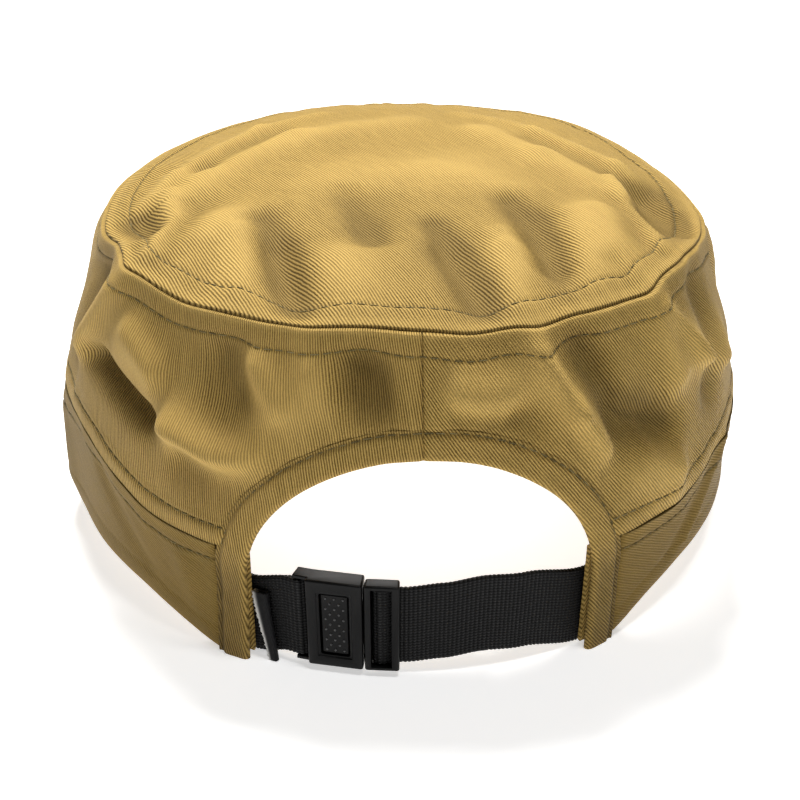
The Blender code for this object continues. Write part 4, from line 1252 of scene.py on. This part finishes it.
def peak_place(place, row):
    """A point of the peak's upper face. A row of 0 is at the band and 1 at the peak's edge."""
    angle = wrapped(180 - place * PEAK_ANGLE)
    root = wall_place(angle, lower_edge(angle) - 0.3 * MM)
    depth = PEAK_DEPTH * curve_through(PEAK_SECTIONS, np.abs(place), 1)
    edge_z = PEAK_EDGE_HEIGHT * curve_through(PEAK_SECTIONS, np.abs(place), 2)
    drop = 0.55 * row + 0.45 * row ** 2
    x = root[..., 0] + PEAK_SPREAD * place * row
    y = root[..., 1] + depth * row
    return stacked(x, y, mix(root[..., 2], edge_z, drop))


# Rows of stitches across the peak, as shares of its depth
PEAK_ROWS = (0.955, 0.84, 0.72, 0.60, 0.48, 0.36, 0.24)
PEAK_ROW_REACH = 0.93

# Where the peak's cloth turns over its edge, as a share of its depth
PEAK_TURN = 0.985
PEAK_GROOVE_WIDTH = 0.016
PEAK_GROOVE = 0.45 * MM
PEAK_RIPPLE = 0.15 * MM


def peak_top(place, row):
    points = peak_place(place, row)
    groove = sum(bell(row, stitched, PEAK_GROOVE_WIDTH) for stitched in PEAK_ROWS)
    soft = ripple(points[..., 0] + 1, points[..., 1] + 1, 14 * MM, 51)
    points[..., 2] += PEAK_RIPPLE * soft - PEAK_GROOVE * groove
    return points


def make_peak(material):
    places = np.linspace(1, -1, 170)[:, None]
    rows = np.concatenate([[-0.06, -0.02], spaced((0, 0.9, 58), (0.9, PEAK_TURN, 14))])
    tops = peak_top(places, rows[None])
    radius = PEAK_CLOTH / 2
    start = peak_place(places, np.array([[PEAK_TURN]]))
    bend = half_turn(9)
    run = peak_place(places, np.array([[1.0]])) - start
    run /= np.linalg.norm(run, axis=-1, keepdims=True)
    tip = start + run * (radius * np.sin(bend))[None, :, None]
    tip[..., 2] -= radius - radius * np.cos(bend)[None]
    lower = peak_place(places, rows[None, ::-1]).copy()
    lower[..., 2] -= PEAK_CLOTH
    points = np.concatenate([tops, tip, lower], 1)
    points[..., 2] = np.maximum(points[..., 2], 0.0)
    coordinates = turned(points[..., 0], points[..., 1], PEAK_LEAN)
    edge = np.concatenate([1 - rows, np.zeros(len(bend)), 1 - rows[::-1]])[None]
    patches = 0.6 + 0.4 * ripple(points[..., 0] + 1, points[..., 1] + 1, 9 * MM, 52)
    wear_and_painted_light = 0.5 * bell(edge, 0, 0.02) * patches
    return loft("peak_cloth", points, coordinates, wear_and_painted_light, material, round_rows=True)


# The strap and its buckle

WEBBING_RIB = 1.0 * MM
TAIL_DROP = 1.1 * MM
SLOT_WIDTH = 1.7 * MM
BAR_WIDTH = 1.6 * MM
BAR_THICK = 1 * MM
SEAM_GAP = 0.3 * MM
FIT = 0.4 * MM
LOOP_REACH = 7 * MM
LOOP_BEND = 3.6 * MM
LOOP_NECK = 1.8 * MM
SOCKET_LEFT = -25.6 * MM
SOCKET_LENGTH = 12.2 * MM
BUCKLE_GAP = 0.8 * MM
TONGUE_LENGTH = 7.8 * MM


def strap_inset():
    """How far the strap's middle line lies inside the rim."""
    layers = max(PANEL_CLOTH, BAND_CLOTH) + LAYER_GAP + SWEATBAND_CLOTH
    return layers + STRAP_CLEARANCE + WEBBING_THICK / 2


def strap_place(along, out, height):
    """A place along the strap, out from its middle line and up, as a point of the cap."""
    half_width = RIM_WIDTH / 2 - strap_inset()
    half_length = RIM_LENGTH / 2 - strap_inset()
    x = ARCH_WIDTH / 2 + WEBBING_TUCK / 2
    sag = half_length * (1 - math.sqrt(1 - (x / half_width) ** 2))
    radius = (x ** 2 + sag ** 2) / (2 * sag)
    tucked = (ARCH_WIDTH / 2 + WEBBING_TUCK) / (RIM_WIDTH / 2)
    lean = (SEAM_LENGTH - RIM_LENGTH) / 2 / BAND_HEIGHT * (1 - tucked ** 2)
    distance = radius + out + lean * height
    middle = radius - RIM_LENGTH / 2 + strap_inset()
    turn = along / radius
    x = distance * np.sin(turn)
    y = middle - distance * np.cos(turn) + CAP_SHIFT
    return stacked(x, y, height)


def strap_middle(along):
    return STRAP_HEIGHT * read_table(STRAP_LINE, along / (ARCH_WIDTH / 2), 1)


def steps(start, end, count):
    return list(np.linspace(start, end, count + 1))


def bar_loop(bar, turn_side, front, back):
    """The way over a bar, round its end and back behind it."""
    reach = BAR_WIDTH / 2 + WEBBING_THICK / 2 + (SLOT_WIDTH - WEBBING_THICK) / 2
    middle = (front + back) / 2
    half = (front - back) / 2
    turns = np.radians([turn_side * angle for angle in (0, 24, 55, 90, 125, 156, 180)])
    return [(bar + reach * math.sin(t), middle + half * math.cos(t)) for t in turns]


def left_line():
    """The left webbing, sewn behind its flap and doubled over the socket's bar."""
    end = -ARCH_WIDTH / 2 - WEBBING_TUCK
    bar = SOCKET_LEFT - SLOT_WIDTH - BAR_WIDTH / 2
    layer = WEBBING_THICK + SEAM_GAP
    clear = BAR_THICK / 2 + WEBBING_THICK / 2 + FIT
    middle = -layer / 2
    line = [(place, 0.0) for place in steps(end, bar - LOOP_REACH, 9)]
    line += [(bar - LOOP_BEND, 0.1 * layer), (bar - LOOP_NECK, 0.7 * (clear + middle))]
    line += bar_loop(bar, 1, middle + clear, middle - clear)
    line += [(bar - LOOP_NECK, middle - 0.8 * clear), (bar - LOOP_BEND, -1.1 * layer)]
    line += [(place, -layer) for place in steps(bar - LOOP_REACH, end + WEBBING_TUCK / 2, 7)]
    return np.array(line)


def tongue_right():
    return SOCKET_LEFT + SOCKET_LENGTH + BUCKLE_GAP + TONGUE_LENGTH


def tongue_bar():
    """Middle of the tongue's bar."""
    return tongue_right() - TONGUE_LENGTH / 2 - 0.3 * MM


def tongue_bar_out():
    """How far the tongue's bar lies behind the strap's middle line."""
    return -BAR_THICK / 2 + 0.1 * MM


def right_line():
    """The right webbing, over the tongue's bar and back as a short tail."""
    end = ARCH_WIDTH / 2 + WEBBING_TUCK
    bar = tongue_bar()
    clear = BAR_THICK / 2 + WEBBING_THICK / 2 + FIT
    front = tongue_bar_out() + clear
    back = tongue_bar_out() - clear
    layer = WEBBING_THICK + SEAM_GAP
    line = [(place, 0.0) for place in steps(end, tongue_right() + 1.5 * MM, 16)]
    line += [(bar + 2.6 * MM, 0.05 * MM), (bar + 1.3 * MM, 0.75 * front)]
    line += bar_loop(bar, -1, front, back)
    line += [(bar + 1.6 * MM, back), (tongue_right(), -layer - 0.1 * MM)]
    line += [(place, -layer) for place in steps(tongue_right() + 3 * MM, ARCH_WIDTH / 5, 5)]
    return np.array(line)


def smooth_line(line, spacing):
    """Points at an even spacing along a line, with its corners eased."""
    for _ in range(2):
        low = 0.75 * line[:-1] + 0.25 * line[1:]
        high = 0.25 * line[:-1] + 0.75 * line[1:]
        line = np.concatenate([line[:1], np.stack([low, high], 1).reshape(-1, 2), line[-1:]])
    gone = np.concatenate([[0], np.cumsum(np.hypot(*np.diff(line, axis=0).T))])
    places = np.arange(0, gone[-1], spacing)
    return places, np.stack([np.interp(places, gone, line[:, axis]) for axis in range(2)], -1)


def make_webbing(name, line, material, side):
    """Webbing along a line of places and outward offsets, with its ribs in the mesh."""
    places, middle = smooth_line(line, WEBBING_RIB / 9)
    run = np.gradient(middle, axis=0)
    run /= np.linalg.norm(run, axis=1, keepdims=True)
    across = np.stack([-run[:, 1], run[:, 0]], 1) * side
    edge = np.radians(np.linspace(-90, 90, 7))
    up = np.concatenate([[-1], np.linspace(-0.985, 0.985, 24), [1]])
    rib = np.abs(np.sin(math.pi * places / WEBBING_RIB)) ** 0.7
    half_width = WEBBING_WIDTH / 2 - 0.16 * MM * (1 - rib)
    half_thick = WEBBING_THICK / 2 - 0.17 * MM * (1 - rib)
    narrow = np.where(np.abs(up) == 1, 0.35, 1.0)
    selvedge = 1 + 0.10 * bell(np.abs(up), 0.93, 0.04)
    weave = 0.035 * MM * np.cos(math.pi * (places[:, None] / WEBBING_RIB + np.arange(len(up))[None]))
    front = half_thick[:, None] * narrow * selvedge + weave
    ups = np.concatenate([up, up[::-1]])
    outs = np.concatenate([front, -front[:, ::-1]], 1)
    along = middle[:, :1] + across[:, :1] * outs
    out = middle[:, 1:] + across[:, 1:] * outs
    behind = ramp(-middle[:, 1:], 0.7 * WEBBING_THICK, WEBBING_THICK + SEAM_GAP)
    height = strap_middle(middle[:, :1]) + half_width[:, None] * ups - TAIL_DROP * behind
    points = strap_place(along, out, height)
    coordinates = stacked(places[:, None], ups[None] * WEBBING_WIDTH / 2)
    return loft(name, points, coordinates, 0, material, round_rows=True)


BUCKLE_HEIGHT = 24 * MM
BUCKLE_FACE = 2.6 * MM
BUCKLE_BACK = 3 * MM
BUCKLE_ROUND = 0.6 * MM
SOCKET_WALL = 1.6 * MM
SOCKET_LIP = 0.45 * MM
SLOT_SHUT = 0.34 * MM
CHEEK = 1 * MM
WINDOW_LENGTH = 6.8 * MM
WINDOW_HEIGHT = 17.3 * MM
WINDOW_SHIFT = 0.3 * MM
PAD_RECESS = 0.7 * MM
FRAME_STEP = 0.6 * MM
FRAME_DEPTH = 0.4 * MM
CUT_REACH = 30 * MM
EDGE_ROUND = 0.16 * MM
GRIP_RADIUS = 0.27 * MM
GRIP_COLUMNS = 5
GRIP_ROWS = 11


def block(name, low, high, rounding=0.0):
    """A block between two corners, with its edges rounded."""
    bm = bmesh.new()
    bmesh.ops.create_cube(bm, size=1)
    for vert in bm.verts:
        vert.co = [mix(a, b, share + 0.5) for a, b, share in zip(low, high, vert.co)]
    if rounding:
        bmesh.ops.bevel(bm, geom=bm.edges[:], offset=rounding, segments=4, profile=0.5, affect="EDGES")
    return finished(name, bm)


def finished(name, bm):
    """An object with the mesh that has been built."""
    mesh = bpy.data.meshes.new(name)
    bm.to_mesh(mesh)
    bm.free()
    return placed(name, mesh)


def combine(obj, other, operation="DIFFERENCE"):
    """Cuts another block from a piece, or joins it to the piece."""
    cut = obj.modifiers.new("combine", "BOOLEAN")
    cut.operation = operation
    cut.object = other
    cut.solver = "EXACT"
    applied(obj, "combine")
    bpy.data.objects.remove(other)


def moulded(obj, material):
    """Eases a moulding's remaining edges and bends it along the strap."""
    ease = obj.modifiers.new("ease", "BEVEL")
    ease.width = EDGE_ROUND
    ease.segments = 2
    ease.limit_method = "ANGLE"
    ease.angle_limit = math.radians(50)
    applied(obj, "ease")
    bend_to_strap(obj, material)
    obj.data.set_sharp_from_angle(angle=math.radians(32))
    return obj


def bend_to_strap(obj, material):
    """Bends a straight piece along the strap, and makes it smooth and of one material."""
    mesh = obj.data
    place = np.zeros(len(mesh.vertices) * 3)
    mesh.vertices.foreach_get("co", place)
    along, out, height = place.reshape(-1, 3).T
    mesh.vertices.foreach_set("co", strap_place(along, out, height).ravel())
    mesh.flip_normals()
    mesh.polygons.foreach_set("use_smooth", np.ones(len(mesh.polygons), dtype=bool))
    mesh.materials.clear()
    mesh.materials.append(material)
    return obj


def bar_block(name, bar, out, low, high):
    corner = (bar - BAR_WIDTH / 2, out - BAR_THICK / 2, low)
    return block(name, corner, (bar + BAR_WIDTH / 2, out + BAR_THICK / 2, high), BAR_THICK / 4)


def window_corners(shrink, back, front):
    """The push pad's window, or the pad inside it, smaller all round by the shrink."""
    middle = SOCKET_LEFT + SOCKET_LENGTH / 2 + WINDOW_SHIFT
    low = (middle - WINDOW_LENGTH / 2 + shrink, back, STRAP_HEIGHT - WINDOW_HEIGHT / 2 + shrink)
    high = (middle + WINDOW_LENGTH / 2 - shrink, front, STRAP_HEIGHT + WINDOW_HEIGHT / 2 - shrink)
    return low, high


def buckle_ends():
    """Heights of the buckle's lower and upper ends."""
    return STRAP_HEIGHT - BUCKLE_HEIGHT / 2, STRAP_HEIGHT + BUCKLE_HEIGHT / 2


def make_socket(material):
    right = SOCKET_LEFT + SOCKET_LENGTH
    base, top = buckle_ends()
    far = (right + SOCKET_LIP, BUCKLE_FACE, top)
    socket = block("socket_moulding", (SOCKET_LEFT, -BUCKLE_BACK, base), far, BUCKLE_ROUND)
    bar = SOCKET_LEFT - SLOT_WIDTH - BAR_WIDTH / 2
    bar_out = -(WEBBING_THICK + SEAM_GAP) / 2
    for z in (base, top - CHEEK):
        corner = (bar - BAR_WIDTH / 2, bar_out - 2 * BAR_THICK, z)
        far = (SOCKET_LEFT + SOCKET_WALL, bar_out + 2 * BAR_THICK, z + CHEEK)
        combine(socket, block("cheek", corner, far, BUCKLE_ROUND / 2), "UNION")
    combine(socket, bar_block("bar", bar, bar_out, base + CHEEK / 2, top - CHEEK / 2), "UNION")
    pocket_low = (SOCKET_LEFT + SOCKET_WALL, SOCKET_WALL - BUCKLE_BACK, base + SOCKET_WALL)
    pocket_high = (right + CUT_REACH, BUCKLE_FACE - SOCKET_WALL, top - SOCKET_WALL)
    combine(socket, block("pocket", pocket_low, pocket_high))
    step = window_corners(-FRAME_STEP, BUCKLE_FACE - FRAME_DEPTH, BUCKLE_FACE + CUT_REACH)
    combine(socket, block("frame_step", *step, FRAME_STEP))
    combine(socket, block("window", *window_corners(0.0, 0.0, BUCKLE_FACE + CUT_REACH), BUCKLE_ROUND))
    return moulded(socket, material)


def make_tongue(material):
    left = tongue_right() - TONGUE_LENGTH
    base, top = buckle_ends()
    low = (left, tongue_bar_out() - BAR_THICK, base)
    tongue = block("tongue_moulding", low, (tongue_right(), BUCKLE_FACE, top), BUCKLE_ROUND)
    bar = tongue_bar()
    reach = BAR_WIDTH / 2 + SLOT_WIDTH
    slots_low = (bar - reach + SLOT_SHUT, -CUT_REACH, base + CHEEK)
    combine(tongue, block("slots", slots_low, (bar + reach, CUT_REACH, top - CHEEK)))
    under_high = (tongue_right() + CUT_REACH, WEBBING_THICK / 2 + FIT, top - CHEEK)
    combine(tongue, block("under", (bar, -CUT_REACH, base + CHEEK), under_high))
    combine(tongue, bar_block("bar", bar, tongue_bar_out(), base + CHEEK / 2, top - CHEEK / 2), "UNION")
    pad_back = SOCKET_WALL - BUCKLE_BACK + FIT
    pad_low, pad_high = window_corners(FIT, pad_back, BUCKLE_FACE - PAD_RECESS)
    combine(tongue, block("pad", pad_low, pad_high, BUCKLE_ROUND / 2), "UNION")
    neck_low = (pad_high[0] - BAR_WIDTH, pad_back, STRAP_HEIGHT - WINDOW_HEIGHT / 3)
    neck_front = BUCKLE_FACE - SOCKET_WALL - FIT
    neck_high = (left + BUCKLE_ROUND * 1.5, neck_front, STRAP_HEIGHT + WINDOW_HEIGHT / 3)
    combine(tongue, block("neck", neck_low, neck_high), "UNION")
    return moulded(tongue, material)


def make_grip(material):
    """The small domes on the push pad, in staggered rows."""
    low, high = window_corners(FIT + 1.0 * MM, 0, BUCKLE_FACE - PAD_RECESS)
    bm = bmesh.new()
    for row in range(GRIP_ROWS):
        for column in range(row % 2, GRIP_COLUMNS, 2):
            along = mix(low[0], high[0], column / (GRIP_COLUMNS - 1))
            height = mix(low[2], high[2], row / (GRIP_ROWS - 1))
            turn = Matrix.Translation((along, high[1], height))
            bmesh.ops.create_uvsphere(bm, u_segments=10, v_segments=6, radius=GRIP_RADIUS, matrix=turn)
    return bend_to_strap(finished("grip_domes", bm), material)


LABEL_WIDTH = 3.4 * MM
LABEL_TOP = 19 * MM
LABEL_THICK = 0.45 * MM
LABEL_LEAN = 3.2 * MM
LABEL_OPENING = 1.1 * MM
LABEL_LIFT = 0.2 * MM
LABEL_CLEARANCE = 0.6 * MM
LABEL_NARROWING = 0.5
FRAY = 0.5 * MM


def make_label(material):
    """A bare tape, folded once, whose raw edge is frayed and pale."""
    left = -ARCH_WIDTH / 2 + SWEATBAND_PEEK + LABEL_CLEARANCE
    near = WEBBING_THICK / 2 + LAYER_GAP + LABEL_THICK / 2
    bend = np.radians(np.linspace(-90, 90, 9))
    round_share = LABEL_OPENING / 2 / LABEL_WIDTH
    run = np.linspace(0, 1 - round_share, 12)
    along = np.concatenate([run[:-1], 1 - round_share + round_share * np.cos(bend), run[::-1][1:]])
    out = np.concatenate([0 * run[:-1], 0.5 + 0.5 * np.sin(bend), 0 * run[1:] + 1])
    share = np.linspace(0, 1, 60)[:, None]
    frayed = bell(along, 0, 0.07) * FRAY * ripple(share * 90 * MM, out[None] * MM, 1.1 * MM, 61)
    width = LABEL_WIDTH * mix(LABEL_NARROWING, 1.0, share)
    height = np.broadcast_to(mix(LABEL_LIFT, LABEL_TOP, share), frayed.shape)
    sway = 0.25 * MM * ripple(share * 30 * MM, 0 * share, 8 * MM, 62)
    place = left + LABEL_LEAN * (1 - share) + along * width - np.abs(frayed)
    points = strap_place(place, near + out * LABEL_OPENING + sway, height)
    wear_and_painted_light = np.broadcast_to(bell(along, 0, 0.16), frayed.shape)
    coordinates = stacked(along * width, height)
    label = loft("label_tape", points, coordinates, wear_and_painted_light, material)
    thicken(label, LABEL_THICK)
    label.modifiers["thickness"].offset = 0
    return label


# The scene

FLOOR_SIZE = 40.0
CAMERA_DISTANCE = 0.5
CAMERA_ELEVATION = 26.0
CAMERA_AZIMUTH = 3.2109
CAMERA_ROLL = 0.2468
CAMERA_LENS = 81.26
CAMERA_TARGET = Vector((0.55 * MM, 0.0, 22.24 * MM))
FLOOR_COLOR = (0.86, 0.86, 0.86, 1)
FLOOR_GLOW = 0.55
WORLD_STRENGTH = 0.05

# A broad light above the peak's side, a weaker one above the arch, and a faint one in the cap
LIGHTS = (
    # name, place, target, size, watts, colour
    ("key", (-0.08, 0.42, 1.05), (0, 0, 0.05), 0.36, 19.5, (1.0, 0.99, 0.97)),
    ("front", (0.14, -0.36, 1.12), (0, -0.05, 0.05), 0.2, 4.4, (1, 1, 1)),
    ("inner", (0, CAP_SHIFT, 0.078), (0, CAP_SHIFT - 0.02, 0), 0.08, 0.06, (1, 1, 1)),
)


def add_camera():
    elevation = math.radians(CAMERA_ELEVATION)
    azimuth = math.radians(CAMERA_AZIMUTH)
    roll = math.radians(CAMERA_ROLL)
    level = math.cos(elevation)
    forward = Vector((math.sin(azimuth) * level, math.cos(azimuth) * level, -math.sin(elevation)))
    level_right = Vector((math.cos(azimuth), -math.sin(azimuth), 0))
    level_up = level_right.cross(forward)
    right = level_right * math.cos(roll) + level_up * math.sin(roll)
    up = level_up * math.cos(roll) - level_right * math.sin(roll)
    target = CAMERA_TARGET + Vector((0, CAP_SHIFT, 0))
    camera = placed("camera", bpy.data.cameras.new("camera"))
    camera.data.sensor_width = 36
    camera.data.lens = CAMERA_LENS
    turn = Matrix((right, up, -forward)).transposed().to_4x4()
    camera.matrix_world = Matrix.Translation(target - forward * CAMERA_DISTANCE) @ turn
    bpy.context.scene.camera = camera


def add_light(name, place, target, size, watts, color):
    """A round lamp that points at a target."""
    light = placed(name, bpy.data.lights.new(name, "AREA"))
    light.data.shape = "DISK"
    light.data.size = size
    light.data.energy = watts
    light.data.color = color
    light.location = place
    aim = Vector(target) - Vector(place)
    light.rotation_euler = aim.to_track_quat("-Z", "Y").to_euler()


def add_studio():
    """A pale floor and a pale world round the cap, and its lights."""
    mesh = bpy.data.meshes.new("floor")
    half = FLOOR_SIZE / 2
    corners = [(-half, -half, 0), (half, -half, 0), (half, half, 0), (-half, half, 0)]
    mesh.from_pydata(corners, [], [(0, 1, 2, 3)])
    floor = placed("floor", mesh)
    nodes = Nodes("floor_paper")
    nodes.shader.inputs["Base Color"].default_value = FLOOR_COLOR
    nodes.shader.inputs["Roughness"].default_value = 0.9
    nodes.shader.inputs["Specular IOR Level"].default_value = 0.1
    nodes.shader.inputs["Emission Color"].default_value = (1, 1, 1, 1)
    nodes.shader.inputs["Emission Strength"].default_value = FLOOR_GLOW
    mesh.materials.append(nodes.material)
    world = bpy.data.worlds.new("studio")
    world.use_nodes = True
    world.node_tree.nodes["Background"].inputs[0].default_value = (1, 1, 1, 1)
    world.node_tree.nodes["Background"].inputs[1].default_value = WORLD_STRENGTH
    bpy.context.scene.world = world
    bpy.context.scene.view_settings.view_transform = "Standard"
    for light in LIGHTS:
        add_light(*light)


def make_cloth(twill, band_shaded_twill, webbing):
    """The cap's cloth and its strap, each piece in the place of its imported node."""
    sewn_pieces = (
        (make_wall("wall_left", -1, LEFT_LEAN, twill), "side_panel_left"),
        (make_wall("wall_right", 1, RIGHT_LEAN, twill), "side_panel_right"),
        (make_crown(twill), "crown_top"),
        (make_band(band_shaded_twill), "band"),
        (make_sweatband(twill), "sweatband"),
        (make_peak(twill), "peak"),
    )
    for piece, node in sewn_pieces:
        dress(piece, node)
    dress(make_webbing("webbing_left_weave", left_line(), webbing, 1), "webbing_left")
    dress(make_webbing("webbing_right_weave", right_line(), webbing, -1), "webbing_right")


def sew_crown(thread):
    """A row of stitches on the crown, beside its seam."""
    turn = np.radians(WHOLE_ROUND)
    across = np.sin(turn)
    along = -np.cos(turn)
    reach = np.where(along < 0, CROWN_BACK_REACH, CROWN_LENGTH - CROWN_BACK_REACH)
    sewn = 1 - CROWN_STITCH / np.hypot(across * CROWN_WIDTH / 2, along * reach)
    line = normals_of(crown_cloth, across * sewn, along * sewn, 0.01, 0.01)
    make_stitches("stitches_crown", [line], thread, seed=4)


def sew_wall(thread):
    """Rows of stitches under the crown seam, over the band seam and along the arch's hem."""
    under_seam = crown_seam(WHOLE_ROUND)[0] - CREASE_DEPTH - WALL_STITCH
    rows = [normals_of(wall_cloth, WHOLE_ROUND, under_seam, ANGLE_STEP, HEIGHT_STEP)]
    for sign in (-1, 1):
        beside = sign * np.linspace(hem_angle() - 3.2, WHOLE_ROUND[-1], 800)
        if sign < 0:
            beside = beside[::-1]
        rows.append(normals_of(wall_cloth, beside, band_seam(beside) + BAND_STITCH, ANGLE_STEP, HEIGHT_STEP))
    x, z, out_x, out_z = arch_edge(np.linspace(0.012, 0.988, 900))
    x = x + out_x * HEM_STITCH
    z = np.maximum(z + out_z * HEM_STITCH, 0.5 * MM)
    above = z > BAND_HEIGHT - BAND_BACK_DROP
    rows.append(normals_of(hem_cloth, x[above], z[above], 0.3 * MM, 0.3 * MM))
    make_stitches("stitches_wall", rows, thread, seed=5)


def sew_peak(thread):
    """Rows of stitches across the peak. The one at its edge is a little shorter."""
    lines = []
    for row in PEAK_ROWS:
        half = PEAK_ROW_REACH * (0.9 if row == PEAK_ROWS[0] else 1)
        places = np.linspace(half, -half, 700)
        lines.append(normals_of(peak_top, places, np.full(len(places), row), -0.004, 0.01))
    make_stitches("stitches_peak", lines, thread, seed=7)


def sew_band(thread):
    """A row of stitches on the band, under its seam."""
    start = hem_angle() + 0.8
    angles = wrapped(np.linspace(start, 360 - start, 1400))
    heights = band_seam(angles) - BAND_SEAM_GAP - BAND_STITCH
    line = normals_of(band_cloth, angles, heights, ANGLE_STEP, HEIGHT_STEP)
    make_stitches("stitches_band", [line], thread, seed=6)


def make_cap():
    """Every piece of the cap, with its material."""
    twill = make_twill("khaki_twill_weave", TWILL_LIGHT, TWILL_DARK, 0.85, 1.1 * TWILL_DEPTH)
    # The band's twill is the same cloth, darker as painted shade, with fainter ribs
    band_shaded_twill = make_twill("khaki_band_shaded_weave", BAND_SHADED_LIGHT, BAND_SHADED_DARK, 0.5, 0.6 * TWILL_DEPTH)
    thread = make_thread("olive_thread", THREAD_LIGHT, THREAD_DARK)
    make_cloth(twill, band_shaded_twill, make_webbing_material())
    sew_crown(thread)
    sew_wall(thread)
    sew_peak(thread)
    sew_band(thread)
    plastic = make_plastic("black_moulded_plastic", PLASTIC_LIGHT, PLASTIC_DARK)
    # Pale plastic for the grip domes, as painted highlight
    grip_highlight_plastic = make_plastic("grip_plastic_painted_highlight", GRIP_HIGHLIGHT_LIGHT, GRIP_HIGHLIGHT_DARK)
    dress(make_socket(plastic), "buckle_socket")
    dress(make_tongue(plastic), "buckle_tongue")
    add_detail(make_grip(grip_highlight_plastic))
    dress(make_label(make_label_material()), "label_tag")


make_cap()
add_studio()
add_camera()
